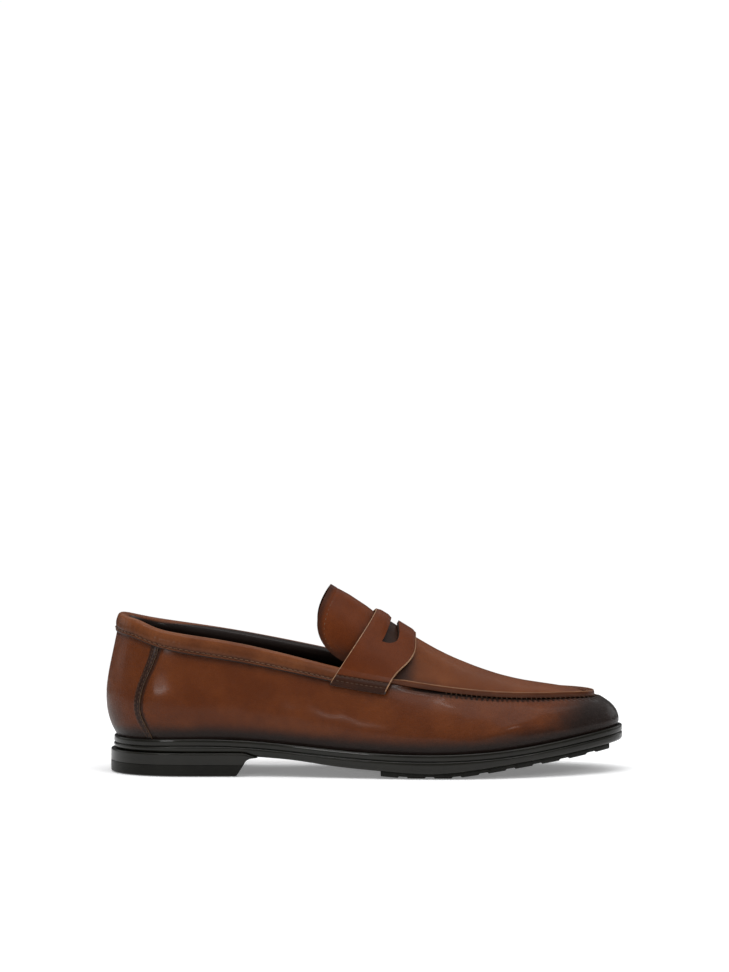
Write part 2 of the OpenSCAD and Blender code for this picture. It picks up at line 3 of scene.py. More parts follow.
import bpy
import numpy as np
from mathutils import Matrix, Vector


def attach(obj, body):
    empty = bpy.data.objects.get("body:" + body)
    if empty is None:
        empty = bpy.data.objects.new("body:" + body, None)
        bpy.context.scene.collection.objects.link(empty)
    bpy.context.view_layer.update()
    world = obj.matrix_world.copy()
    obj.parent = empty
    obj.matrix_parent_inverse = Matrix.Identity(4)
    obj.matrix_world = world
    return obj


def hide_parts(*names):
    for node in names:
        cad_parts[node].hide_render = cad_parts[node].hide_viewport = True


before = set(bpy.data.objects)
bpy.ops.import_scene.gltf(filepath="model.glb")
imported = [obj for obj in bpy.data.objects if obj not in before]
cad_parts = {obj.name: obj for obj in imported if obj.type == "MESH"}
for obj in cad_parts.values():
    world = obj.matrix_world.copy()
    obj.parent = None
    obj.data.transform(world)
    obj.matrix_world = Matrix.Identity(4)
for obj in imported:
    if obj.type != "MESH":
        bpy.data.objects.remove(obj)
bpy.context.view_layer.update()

# ------------------------------------------------------------------ the shoe's form, in millimetres
# The same surfaces as the CAD. phi runs round the line where the upper meets the sole: 0 heel, 90 lateral
# waist, 180 toe, 270 medial waist. v runs up the wall from that line (0) to the topline or apron seam (1).

HEEL_X, HALF_L = 6.0, 291.7 / 2
MID_X = HEEL_X + HALF_L
TURN, RIM, MARGIN, LEATHER, GAP, SLACK = 40.0, 2.5, 12.0, 1.4, 0.12, 0.34
# Sections every 30 degrees of phi: half width factor, feather height, inward lean of the top, top height,
# outward belly, height share of the belly, fullness below the top, height share of the fullness
SECTIONS = np.array([
    [66,   21,   1.6,  90.5, 13.5, 0.30, 3,    0.67],
    [57.6, 21,   3,    83.6, 10,   0.30, 2,    0.68],
    [37.5, 20.8, 3.5,  74.8, 6,    0.32, 2.5,  0.72],
    [43.5, 14.8, 9.5,  58,   5,    0.36, 6,    0.80],
    [54.3, 15.5, 16.5, 46.5, 5,    0.40, 11,   0.87],
    [53.8, 23.3, 16,   44.2, 3.5,  0.42, 11,   0.94],
    [59,   26.5, 15.2, 43.5, 2.5,  0.42, 10.2, 0.955],
    [53,   23.3, 14,   44.2, 3.5,  0.42, 11,   0.94],
    [49,   15.5, 10.5, 47.5, 6,    0.40, 9,    0.87],
    [33,   14.8, 2,    62,   9,    0.36, 4,    0.80],
    [33.5, 20.8, 1.5,  77,   7,    0.32, 2.5,  0.72],
    [56.5, 21,   2.5,  85,   10,   0.30, 2,    0.68]], float)
# Instep ridge every 20 mm from x = 110, underside every 20 mm from x = 90, strap's front every 5 mm of
# height from z = 45
RIDGE = np.array([119.5, 109.2, 96.5, 84.0, 71.8, 62.1, 55.3, 51.1, 47.8, 41.5])
UNDER = np.array([11, 9.4, 6.7, 4.8, 3.3, 2.5, 4.2, 7, 9.9, 12.9, 16.2, 19])
FRONT = np.array([159.4, 162.5, 165.4, 169.2, 174.9, 178.7, 180, 180.2])
BREAST_X, HEEL_H, TOP_PIECE = 78.0, 13.4, 6.5
SHARP = [3 ** 0.5 * (3 ** 0.5 - 2) ** abs(j) for j in range(-7, 8)]


def ring_weights(t):
    n = len(t)
    return np.array([sum(SHARP[j] * t[(k + j - 7) % n] for j in range(15)) for k in range(n)])


def span_weights(t):
    n = len(t)

    def at(i):
        if i < 0:
            return t[0] + (t[1] - t[0]) * i
        if i > n - 1:
            return t[-1] + (t[-1] - t[-2]) * (i - n + 1)
        return t[i]
    return np.array([sum(SHARP[j] * at(k + j - 7) for j in range(15)) for k in range(-1, n + 1)])


def basis(t):
    return np.array([(1 - t) ** 3, 3 * t ** 3 - 6 * t * t + 4, -3 * t ** 3 + 3 * t * t + 3 * t + 1, t ** 3]) / 6


SECTION_W = ring_weights(SECTIONS)
RIDGE_W, UNDER_W, FRONT_W = (span_weights(t) for t in (RIDGE, UNDER, FRONT))


def section(phi):
    q = np.mod(phi, 360.0) / 30.0
    k = np.floor(q).astype(int)
    b = basis(q - k)
    return sum(b[i][..., None] * SECTION_W[(k + i - 1) % 12] for i in range(4))


def span_at(w, x0, dx, x):
    q = (np.asarray(x, float) - x0) / dx
    k = np.clip(np.floor(q), 0, len(w) - 4).astype(int)
    b = basis(q - k)
    return sum(b[i] * w[k + i] for i in range(4))


def ridge_z(x):
    return span_at(RIDGE_W, 110.0, 20.0, x)


def ease(a, b, x):
    t = np.clip((np.asarray(x, float) - a) / (b - a), 0, 1)
    return t * t * (3 - 2 * t)


def bump(x, centre, width):
    return np.exp(-((np.asarray(x, float) - centre) / width) ** 2)


def grids(*values):
    return np.broadcast_arrays(*(np.asarray(v, float) for v in values))


def x_at(phi):
    return MID_X - HALF_L * np.cos(np.radians(phi))


def phi_at(x):
    return np.degrees(np.arccos(np.clip((MID_X - np.asarray(x, float)) / HALF_L, -1, 1)))


def centre_y(x):
    return 6.0 * np.maximum(0, (x - 100) / 198) ** 3


def unit(v):
    return v / np.maximum(np.linalg.norm(v, axis=-1, keepdims=True), 1e-12)


def facing(phi, w):
    p = np.radians(phi)
    return unit(np.stack([-TURN * np.cos(p) ** 3, -w * np.sin(p)], -1))


def at_section(phi, out, z):
    phi, out, z = np.broadcast_arrays(np.asarray(phi, float), out, z)
    s = section(phi)
    m = facing(phi, s[..., 0])
    x = x_at(phi)
    y = centre_y(x) - s[..., 0] * np.sin(np.radians(phi))
    return np.stack([x + m[..., 0] * out, y + m[..., 1] * out, z + 0 * x], -1)


def feather_z(phi):
    return section(np.asarray(phi, float))[..., 1]


def wall(phi, v):
    phi, v = grids(phi, v)
    s = section(phi)
    top = s[..., 3] + 1.6 * np.exp(-((np.mod(phi, 360) - 21) / 9) ** 2)
    h = top - s[..., 1]
    t = np.maximum(0, v)
    b = [(1 - t) ** 3, 3 * t * (1 - t) ** 2, 3 * t * t * (1 - t), t ** 3]
    out = b[1] * s[..., 4] + b[2] * (s[..., 6] - s[..., 2]) - b[3] * s[..., 2] + np.minimum(0, v + 1) * MARGIN
    z = (b[0] * s[..., 1] + b[1] * (s[..., 1] + s[..., 5] * h) + b[2] * (s[..., 1] + s[..., 7] * h)
         + b[3] * top + np.clip(v, -1, 0) * RIM)
    p = at_section(phi, out, z)
    p[..., 2] += np.where(v < -1, feather_z(phi_at(p[..., 0])) - s[..., 1], 0)
    return p


def wall_normal(phi, v):
    phi, v = grids(phi, v)
    t = np.maximum(0, v)
    up = wall(phi, np.maximum(0.04, v + 0.02)) - wall(phi, np.maximum(0, v - 0.02))
    n = unit(np.cross(wall(phi + 1, t) - wall(phi - 1, t), up))
    f = facing(phi, section(phi)[..., 0])
    low = unit(np.stack([f[..., 0], f[..., 1], -np.ones_like(v)], -1))
    k = ease(-0.3, -1.0, v)[..., None]
    k2 = ease(-1.0, -1.6, v)[..., None]
    n = unit(n * (1 - k) + low * k)
    return unit(n * (1 - k2) + np.array([0, 0, -1.0]) * k2)


def wall_off(phi, v, off):
    return wall(phi, v) + wall_normal(phi, v) * np.asarray(off, float)[..., None]


def wall_height(phi):
    return np.linalg.norm(wall(phi, 1.0) - wall(phi, 0.75), axis=-1) / 0.25


def down(phi, d):
    return 1 - d / wall_height(phi)


def apron(phi, s):
    phi, s = grids(phi, s)
    a, b = wall(phi, 1.0), wall(360 - phi, 1.0)
    p = a + (b - a) * ((s + 1) / 2)[..., None]
    e = np.where((s < 0)[..., None], a, b)
    z = ridge_z(p[..., 0]) + (e[..., 2] - ridge_z(e[..., 0])) * s * s
    return np.stack([p[..., 0], p[..., 1], z], -1)


def apron_normal(phi, s):
    return unit(np.cross(apron(phi + 1, s) - apron(phi - 1, s),
                         apron(phi, np.minimum(1, s + 0.02)) - apron(phi, np.maximum(-1, s - 0.02))))


def apron_off(phi, s, off):
    return apron(phi, s) + apron_normal(phi, s) * np.asarray(off, float)[..., None]


def girth_off(phi, g, off):
    phi, g, off = grids(phi, g, off)
    lateral, medial = wall_off(phi, 2 + g, off), wall_off(360 - phi, 2 - g, off)
    a, b = wall_normal(phi, 1.0), wall_normal(360 - phi, 1.0)
    gc = np.clip(g, -1, 1)
    near = (ease(0.8, 1, np.abs(g)) / 2)[..., None]
    n = unit(apron_normal(np.minimum(179, phi), gc) * (1 - near) + np.where((g < 0)[..., None], a, b) * near)
    mid = apron(phi, gc) + n * off[..., None]
    return np.where((g < -1)[..., None], lateral, np.where((g > 1)[..., None], medial, mid))


def strap_back(z):
    return 156.5 - 0.67 * (93.7 - z)


def strap_front(z):
    return span_at(FRONT_W, 45, 5, np.clip(z, 40, 80))


def strap_phi(g, edge, start):
    phi = np.full(np.shape(g), float(start))
    for _ in range(8):
        p = girth_off(phi, -np.abs(g), 2.5)
        phi = phi_at(x_at(phi) + edge(p[..., 2]) - p[..., 0])
    return phi


def strap_lift(g):
    return 0.9 + 1.45 * ease(0.45, 0.85, np.abs(g)) - 2.2 * ease(1.21, 1.26, np.abs(g))


def tongue(x, s):
    x, s = grids(x, s)
    a, b = wall(phi_at(x), 1.0), wall(360 - phi_at(x), 1.0)
    half = (b[..., 1] - a[..., 1]) / 2
    y = (a[..., 1] + b[..., 1]) / 2 + half * s - np.sign(s) * 8.3 * np.abs(s) ** 5
    return np.stack([x, y, ridge_z(x) - (ridge_z(x) - 60) * s * s], -1)


def tongue_off(x, s, off):
    n = unit(np.cross(tongue(x + 1, s) - tongue(x - 1, s), tongue(x, s + 0.02) - tongue(x, s - 0.02)))
    return tongue(x, s) + n * np.asarray(off, float)[..., None]


def tongue_back(s):
    return 130.5 - 22.5 * s * s + 45.3 * np.abs(s) ** 7.6


def tongue_root(s):
    x = strap_back(tongue(150.0, s)[..., 2])
    return strap_back(tongue(x, s)[..., 2] + 2 * (1 - s * s))


def tongue_front(s):
    return tongue_root(s) + 1.2 + 5 * ease(0.8, 0.94, np.abs(s))


def apron_back(s):
    return np.maximum(tongue_root(s) + 2.6, 145.2 * ease(0.6, 0.72, np.abs(s)))


def band_w(phi):
    return 11 - 2 * ease(70, 26, np.abs(phi)) - 2.3 * ease(40, 84, np.abs(phi))


def sole_under(x):
    t = ease(BREAST_X + 1, BREAST_X + 9, x)
    return np.where(x < BREAST_X + 1, HEEL_H,
                    HEEL_H * (1 - t) + span_at(UNDER_W, 90.0, 20.0, np.maximum(x, 84)) * t)


def sole_edge(phi):
    p = np.radians(phi)
    return 1.9 + 1.5 * np.sin(p) ** 2 + 0.7 * ease(0.5, 1, -np.cos(p))


ring = np.arange(0, 360, 5.0)
sides = at_section(ring, sole_edge(ring), 0.0)
low_x = min(float(wall(0.0, v)[0]) for v in np.arange(0.2, 0.501, 0.02))
SHIFT = -np.array([(low_x + sides[:, 0].max()) / 2, (sides[:, 1].min() + sides[:, 1].max()) / 2, 0])

# ------------------------------------------------------------------ meshes


def metres(p):
    return (np.asarray(p, float) + SHIFT) * 0.001


def smooth_line(points, per):
    """Catmull-Rom curve through points, with per steps between neighbours. Works on (..., n, d) arrays."""
    p = np.asarray(points, float)
    first = 2 * p[..., :1, :] - p[..., 1:2, :]
    last = 2 * p[..., -1:, :] - p[..., -2:-1, :]
    q = np.concatenate([first, p, last], -2)
    out = []
    for i in range(1, q.shape[-2] - 2):
        for t in np.arange(per) / per:
            a, b, c, d = (q[..., i + k, :] for k in (-1, 0, 1, 2))
            out.append(0.5 * (2 * b + (c - a) * t + (2 * a - 5 * b + 4 * c - d) * t * t
                              + (3 * b - a - 3 * c + d) * t ** 3))
    out.append(p[..., -1, :])
    return np.stack(out, -2)


def link(o):
    bpy.context.scene.collection.objects.link(o)


def build(name, verts, faces, body="shoe", attrs=None, material=None, slot=None):
    me = bpy.data.meshes.new(name)
    verts = metres(np.asarray(verts).reshape(-1, 3))
    faces = [tuple(f) for f in faces]
    me.from_pydata(verts.tolist(), [], faces)
    me.validate()
    for key, values in (attrs or {}).items():
        a = me.attributes.new(key, "FLOAT", "POINT")
        a.data.foreach_set("value", np.asarray(values, np.float32).reshape(-1))
    me.shade_smooth()
    o = bpy.data.objects.new(name, me)
    link(o)
    for m in (material if isinstance(material, (list, tuple)) else [material]):
        me.materials.append(m)
    if body:
        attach(o, body)
    return o


def volume(verts, faces):
    f = np.array([(a, b, c) for a, b, c, _ in faces] + [(a, c, d) for a, _, c, d in faces])
    p = verts[f]
    return np.einsum("ij,ij->i", p[:, 0], np.cross(p[:, 1], p[:, 2])).sum() / 6


def sheet(name, outer, inner, solid=None, attrs=None, rim=0.35, rim_material=None, **more):
    """A closed sheet between two grids. Cells where solid is False stay open. Edges are rounded by rim mm."""
    rows, cols = outer.shape[:2]
    keep = np.ones((rows - 1, cols - 1), bool) if solid is None else solid
    at = np.arange(rows * cols).reshape(rows, cols)
    base = rows * cols
    i, j = np.nonzero(keep)
    a, b, c, d = at[i, j], at[i + 1, j], at[i + 1, j + 1], at[i, j + 1]
    faces = [np.stack([a, d, c, b], -1), np.stack([a, b, c, d], -1) + base]
    pad = np.pad(keep, 1)
    edge = []
    for di, dj, e0, e1 in ((-1, 0, d, a), (1, 0, b, c), (0, -1, a, b), (0, 1, c, d)):
        m = ~pad[i + 1 + di, j + 1 + dj]
        edge.append(np.stack([e0[m], e1[m], e1[m] + base, e0[m] + base], -1))
    n_top = sum(len(f) for f in faces)
    faces = np.concatenate(faces + edge)
    verts = np.concatenate([outer.reshape(-1, 3), inner.reshape(-1, 3)])
    full = {k: np.concatenate([np.asarray(v).reshape(-1)] * 2) for k, v in (attrs or {}).items()}
    used = np.unique(faces)
    renumber = np.zeros(len(verts), int)
    renumber[used] = np.arange(len(used))
    verts, faces = verts[used], renumber[faces]
    full = {k: v[used] for k, v in full.items()}
    if volume(verts, faces) < 0:
        faces = faces[:, ::-1]
    o = build(name, verts, faces.tolist(), attrs=full, **more)
    if rim_material:
        o.data.materials.append(rim_material)
        index = np.zeros(len(o.data.polygons), np.int32)
        index[n_top:] = 1
        o.data.polygons.foreach_set("material_index", index)
    if rim:
        m = o.modifiers.new("rim", "BEVEL")
        m.width, m.segments, m.limit_method, m.angle_limit = rim * 0.001, 3, "ANGLE", math.radians(50)
    return o


def loft(name, rings, closed_ends=True, attrs=None, **more):
    """A closed tube through rings (n sections, m points each). The ends are closed with a fan."""
    n, m = rings.shape[:2]
    at = np.arange(n * m).reshape(n, m)
    i, j = np.meshgrid(np.arange(n - 1), np.arange(m), indexing="ij")
    faces = np.stack([at[i, j], at[i, (j + 1) % m], at[i + 1, (j + 1) % m], at[i + 1, j]], -1).reshape(-1, 4)
    verts = rings.reshape(-1, 3)
    if volume(verts, faces) < 0:
        faces = faces[:, ::-1]
    faces = faces.tolist()
    if closed_ends:
        forward = faces[0][1] != at[0, 1]
        first, last = at[0].tolist(), at[n - 1].tolist()
        faces.append(first if forward else first[::-1])
        faces.append(last[::-1] if forward else last)
    return build(name, verts, faces, attrs=attrs, **more)


def capsule_row(name, starts, ends, normals, radius, sink=0.0, **more):
    """Stitches: short thick threads from start to end, each arched out along its normal and sunk at its ends."""
    starts, ends, normals = (np.asarray(a, float) for a in (starts, ends, normals))
    length = np.linalg.norm(ends - starts, axis=-1, keepdims=True)
    along = (ends - starts) / length
    normal = unit(normals - along * (normals * along).sum(-1, keepdims=True))
    side = np.cross(along, normal)
    ts = np.array([0, 0.04, 0.12, 0.25, 0.4, 0.5, 0.6, 0.75, 0.88, 0.96, 1.0])
    width = np.array([0.25, 0.55, 0.85, 1, 1, 1, 1, 1, 0.85, 0.55, 0.25])
    lift = np.array([-0.9, -0.6, -0.15, 0.2, 0.33, 0.36, 0.33, 0.2, -0.15, -0.6, -0.9])
    sides_n = 8
    verts, faces = [], []
    for k in range(len(starts)):
        base = k * len(ts) * sides_n
        for t, w, h in zip(ts, width, lift):
            c = starts[k] + (ends[k] - starts[k]) * t + normal[k] * (h * radius - sink)
            twist = 0.5 * math.sin(t * 9)
            for q in range(sides_n):
                a = 2 * math.pi * q / sides_n + twist
                r = radius * w * (1 + 0.1 * math.cos(2 * a + t * 20))
                verts.append(c + normal[k] * math.cos(a) * r * 0.85 + side[k] * math.sin(a) * r)
        for i in range(len(ts) - 1):
            for q in range(sides_n):
                a, b = base + i * sides_n + q, base + i * sides_n + (q + 1) % sides_n
                faces.append((a, b, b + sides_n, a + sides_n))
        faces.append(tuple(base + q for q in range(sides_n))[::-1])
        faces.append(tuple(base + (len(ts) - 1) * sides_n + q for q in range(sides_n)))
    return build(name, np.array(verts), faces, **more)


def along_line(points, pitch, share):
    """Start and end points of stitches at a pitch along a fine polyline, and their index in the line."""
    d = np.concatenate([[0], np.cumsum(np.linalg.norm(np.diff(points, axis=0), axis=1))])
    n = max(1, int(round(d[-1] / pitch)))
    step = d[-1] / n
    s0 = (np.arange(n) + (1 - share) / 2) * step
    s1 = s0 + share * step

    def pick(s):
        return np.stack([np.interp(s, d, points[:, k]) for k in range(3)], -1)
    return pick(s0), pick(s1), np.interp((s0 + s1) / 2, d, np.arange(len(points)))


# ------------------------------------------------------------------ materials


class Nodes:
    """Short names for building a material's nodes."""

    def __init__(self, name):
        self.m = bpy.data.materials.new(name)
        self.m.use_nodes = True
        self.t = self.m.node_tree
        self.t.nodes.clear()
        self.out = self.t.nodes.new("ShaderNodeOutputMaterial")
        self.b = self.t.nodes.new("ShaderNodeBsdfPrincipled")
        self.t.links.new(self.b.outputs[0], self.out.inputs["Surface"])
        self.pos = self.t.nodes.new("ShaderNodeTexCoord").outputs["Object"]

    def put(self, socket, value):
        if isinstance(value, bpy.types.NodeSocket):
            self.t.links.new(value, socket)
        elif value is not None:
            if socket.type == "RGBA" and len(value) == 3:
                value = (*value, 1)
            socket.default_value = value

    def attr(self, name):
        n = self.t.nodes.new("ShaderNodeAttribute")
        n.attribute_name = name
        return n.outputs["Fac"]

    def noise(self, scale, detail=3, rough=0.5, stretch=None):
        n = self.t.nodes.new("ShaderNodeTexNoise")
        n.inputs["Scale"].default_value = scale
        n.inputs["Detail"].default_value = detail
        n.inputs["Roughness"].default_value = rough
        self.put(n.inputs["Vector"], self.scaled(stretch) if stretch else self.pos)
        return n.outputs["Fac"]

    def voronoi(self, scale, feature="F1", stretch=None):
        n = self.t.nodes.new("ShaderNodeTexVoronoi")
        n.feature = feature
        n.inputs["Scale"].default_value = scale
        self.put(n.inputs["Vector"], self.scaled(stretch) if stretch else self.pos)
        return n.outputs["Distance"]

    def scaled(self, by):
        n = self.t.nodes.new("ShaderNodeMapping")
        n.inputs["Scale"].default_value = by
        self.put(n.inputs["Vector"], self.pos)
        return n.outputs[0]

    def math(self, op, a, b=None):
        n = self.t.nodes.new("ShaderNodeMath")
        n.operation = op
        for s, v in zip(n.inputs, (a, b)):
            self.put(s, v)
        return n.outputs[0]

    def span(self, value, a, b, lo=0.0, hi=1.0):
        n = self.t.nodes.new("ShaderNodeMapRange")
        n.interpolation_type = "SMOOTHSTEP"
        for key, v in (("Value", value), ("From Min", a), ("From Max", b), ("To Min", lo), ("To Max", hi)):
            self.put(n.inputs[key], v)
        return n.outputs[0]

    def mix(self, fac, a, b):
        n = self.t.nodes.new("ShaderNodeMix")
        n.data_type = "RGBA"
        self.put(n.inputs[0], fac)
        self.put(n.inputs[6], a)
        self.put(n.inputs[7], b)
        return n.outputs[2]

    def bumps(self, *layers):
        normal = None
        for height, strength, distance in layers:
            n = self.t.nodes.new("ShaderNodeBump")
            n.inputs["Strength"].default_value = strength
            n.inputs["Distance"].default_value = distance
            self.put(n.inputs["Height"], height)
            if normal is not None:
                self.put(n.inputs["Normal"], normal)
            normal = n.outputs[0]
        self.put(self.b.inputs["Normal"], normal)

    def set(self, **values):
        names = {"color": "Base Color", "rough": "Roughness", "metal": "Metallic", "coat": "Coat Weight",
                 "coat_rough": "Coat Roughness", "spec": "Specular IOR Level", "sheen": "Sheen Weight"}
        for k, v in values.items():
            self.put(self.b.inputs[names[k]], v)
        return self.m


def leather(name, light, mid, dark, rough=0.4, grain=1.0, coat=0.15, use_burnish_and_shade=True):
    n = Nodes(name)
    cloud = n.noise(38, 4, 0.55)
    blotch = n.noise(140, 4, 0.6)
    pores = n.voronoi(1500)
    fine = n.noise(2600, 3, 0.6)
    cells = n.voronoi(900, "DISTANCE_TO_EDGE")
    tone = n.mix(n.span(cloud, 0.34, 0.66), mid, light)
    tone = n.mix(n.span(blotch, 0.35, 0.75, 0.0, 0.35), tone, mid)
    if use_burnish_and_shade:
        # burnish_and_shade darkens the leather towards its dark colour: the real burnished finish, and painted shade
        # and shadow under the collar band, the apron's lip and the strap, and in grooves beside seams.
        burnish_and_shade = n.math("ADD", n.attr("burnish_and_shade"), n.math("MULTIPLY", n.math("SUBTRACT", blotch, 0.5), 0.22))
        tone = n.mix(n.span(burnish_and_shade, 0.02, 1.0), tone, dark)
    tone = n.mix(n.span(pores, 0.0, 0.35, 0.22, 0.0), tone, dark)
    # The light attribute mixes in pale tan: the lip's pale top edge, and a painted glint along the collar band's rim.
    tone = n.mix(n.attr("light"), tone, (0.30, 0.15, 0.075))
    roughness = n.math("ADD", n.span(fine, 0.3, 0.7, rough - 0.05, rough + 0.07),
                       n.math("MULTIPLY", n.math("SUBTRACT", cloud, 0.5), 0.12))
    wrinkle = n.voronoi(260, "DISTANCE_TO_EDGE", stretch=(1.6, 1, 0.55))
    n.bumps((n.span(wrinkle, 0.0, 0.12), 0.12 * grain, 0.0002),
            (n.span(cells, 0.0, 0.18), 0.32 * grain, 0.00012),
            (fine, 0.2 * grain, 0.00008))
    return n.set(color=tone, rough=roughness, coat=coat, coat_rough=0.15, spec=0.1)


BROWN_LIGHT, BROWN, BROWN_DARK = (0.126, 0.0305, 0.0056), (0.093, 0.0205, 0.0034), (0.0125, 0.007, 0.0052)
upper = leather("upper_leather", BROWN_LIGHT, BROWN, BROWN_DARK, 0.38, 2.8, 0.15)
apron_tone = leather("apron_leather", (0.156, 0.043, 0.0105), (0.122, 0.032, 0.0072), BROWN_DARK, 0.42, 1.0, 0.03)
strap_tone = leather("strap_leather", (0.120, 0.0260, 0.0040), (0.090, 0.0180, 0.0024), (0.022, 0.0085, 0.0045),
                     0.42, 1.0, 0.02)
band_leather = leather("band_leather", (0.172, 0.052, 0.0155), (0.124, 0.034, 0.0095), BROWN_DARK, 0.42, 1.1, 0.12)
lip_leather = leather("lip_leather", (0.105, 0.033, 0.0135), (0.074, 0.021, 0.0072), (0.009, 0.005, 0.0035),
                      0.42, 0.8, 0.12)
lining = leather("lining_leather", (0.011, 0.010, 0.008), (0.008, 0.0075, 0.006), (0.004, 0.004, 0.003),
                 0.62, 1.0, 0, False)
grip = leather("grip_leather", (0.052, 0.026, 0.015), (0.038, 0.019, 0.012), (0.02, 0.01, 0.007), 0.8, 1.4, 0, False)
sock_leather = leather("sock_leather", (0.017, 0.014, 0.011), (0.012, 0.010, 0.008), (0.006, 0.005, 0.004),
                       0.58, 1.0, 0, False)


def edge_paint(name, light, dark, rough=0.5):
    n = Nodes(name)
    a = n.noise(420, 4, 0.6)
    n.bumps((n.noise(1800, 3, 0.6, stretch=(1, 1, 2)), 0.35, 0.00012))
    return n.set(color=n.mix(n.span(a, 0.3, 0.7), dark, light), rough=n.span(a, 0.2, 0.8, rough - 0.08, rough + 0.08))


cut_edge = edge_paint("cut_edge_tan", (0.33, 0.17, 0.08), (0.20, 0.10, 0.045))
seam_edge = edge_paint("seam_edge", (0.11, 0.06, 0.03), (0.06, 0.033, 0.018))
dark_edge = edge_paint("cut_edge_dark", (0.045, 0.022, 0.014), (0.022, 0.012, 0.009))
tongue_edge = edge_paint("tongue_edge", (0.09, 0.04, 0.02), (0.05, 0.022, 0.013))


def thread(name, light, dark, sheen=0.05):
    n = Nodes(name)
    twist = n.noise(5200, 2, 0.5)
    n.bumps((twist, 0.5, 0.00012))
    return n.set(color=n.mix(n.span(twist, 0.3, 0.7), dark, light), rough=n.span(twist, 0, 1, 0.55, 0.75),
                 sheen=sheen, spec=0.15)


tan_thread = thread("tan_thread", (0.17, 0.085, 0.045), (0.09, 0.042, 0.022))
dark_thread = thread("dark_thread", (0.095, 0.052, 0.031), (0.042, 0.022, 0.014), 0)


def rubber(name, light, dark, rough, coat, grain):
    n = Nodes(name)
    cloud = n.noise(60, 4, 0.6)
    fine = n.noise(2400, 4, 0.65)
    dust = n.noise(900, 5, 0.7)
    n.bumps((cloud, 0.05, 0.0004), (fine, grain, 0.00008))
    color = n.mix(n.span(cloud, 0.3, 0.7), dark, light)
    color = n.mix(n.span(dust, 0.62, 0.8, 0, 0.12), color, (0.05, 0.05, 0.045))
    return n.set(color=color, rough=n.span(dust, 0.3, 0.75, rough - 0.04, rough + 0.1),
                 coat=coat, coat_rough=0.09, spec=0.1)


sole_rubber = rubber("sole_rubber", (0.0095, 0.0088, 0.0060), (0.0070, 0.0065, 0.0044), 0.36, 0.36, 0.02)
tread_rubber = rubber("tread_rubber", (0.009, 0.0086, 0.0066), (0.006, 0.0058, 0.0045), 0.42, 0.05, 0.2)


def plain(name, light, dark, rough, scale, strength, metal=0.0, stretch=None):
    n = Nodes(name)
    a = n.noise(scale, 5, 0.65, stretch=stretch)
    n.bumps((n.noise(scale * 3, 4, 0.6, stretch=stretch), strength, 0.0002))
    return n.set(color=n.mix(n.span(a, 0.3, 0.7), dark, light),
                 rough=n.span(a, 0.2, 0.8, rough - 0.06, rough + 0.06), metal=metal)


foam_mat = plain("latex_foam", (0.62, 0.56, 0.38), (0.45, 0.40, 0.26), 0.85, 1400, 0.6)
stiff_mat = plain("stiffener_felt", (0.52, 0.42, 0.28), (0.40, 0.31, 0.19), 0.8, 900, 0.4)
board_mat = plain("fibreboard", (0.42, 0.28, 0.15), (0.32, 0.20, 0.10), 0.75, 700, 0.3, stretch=(0.4, 2, 1))
filler_mat = plain("pressed_felt", (0.32, 0.25, 0.18), (0.22, 0.17, 0.12), 0.9, 1100, 0.6)
steel_mat = plain("spring_steel", (0.55, 0.55, 0.56), (0.42, 0.42, 0.44), 0.32, 500, 0.12, 1.0, stretch=(0.2, 4, 4))

# ------------------------------------------------------------------ upper: wall and heel panel


HEEL_RADIUS = 78
DEGREE = np.pi / 180 * HEEL_RADIUS  # about how many mm one degree of phi is along the wall at the heel


def seam_shape(v):
    return 27.6 + 5.4 * ease(0.34, 0.9, v) + 3.4 * ease(0.3, 0, v)


def wavy(p, size, seed):
    """Smooth, repeatable unevenness from a few sine waves; about -1 to 1."""
    rng = np.random.default_rng(seed)
    total = 0
    for _ in range(7):
        d = unit(rng.normal(size=3))
        f = rng.uniform(0.6, 1.7) * 2 * math.pi / size
        total = total + np.sin((p @ d) * f + rng.uniform(0, 6.28))
    return total / 3.2


def wall_burnish_and_shade(p, phi, v):
    """How dark the wall and heel panel are, 0 to 1: burnished finish at the toe, heel and sole, and painted shade
    under the collar band, under the apron's lip and beside the strap.
    """
    x, z = p[..., 0], p[..., 2]
    up = z - feather_z(phi)
    below_top = (1 - v) * wall_height(phi)
    toe = ease(252, 288, x + 0.25 * np.abs(p[..., 1]) - 0.5 * (z - 36))
    heel = np.maximum(ease(24, 3, x + 0.35 * (z - 30)) * ease(70, 30, z), 0.3 * ease(40, 28, x))
    base = (1 - ease(0.5, 12, up)) * 0.72 + (1 - ease(4, 28, up)) * 0.3
    toe_rim = ease(150, 240, x) * ease(17, 4, up) * 0.8
    back = np.abs((phi + 180) % 360 - 180)
    band = band_w(back)
    # Painted shade: a dark band under the collar band, partly its burnished edge; shade under the apron's lip; shadow
    # beside the strap, partly burnish.
    shade_and_burnish_under_band = np.where(back < 88, ease(band + 5.5, band + 0.5, below_top) * 0.45, 0)
    painted_shade_under_lip = np.where(back > 90, ease(9, 4, below_top) * ease(90, 95, back) * 0.6, 0)
    shadow_and_burnish_near_strap = np.where((back > 70) & (back < 110), bump(x, 148, 20) * ease(19, 10, below_top) * 0.35, 0)
    parts = [toe * 0.95, heel * 0.6, base, toe_rim, shade_and_burnish_under_band, painted_shade_under_lip, shadow_and_burnish_near_strap]
    return np.clip(np.maximum.reduce(parts), 0, 1)


WALL_V = np.concatenate([np.linspace(-2, -1, 6)[:-1], np.linspace(-1, 0, 5)[:-1],
                         np.linspace(0, 0.8, 44)[:-1], np.linspace(0.8, 0.985, 26)])


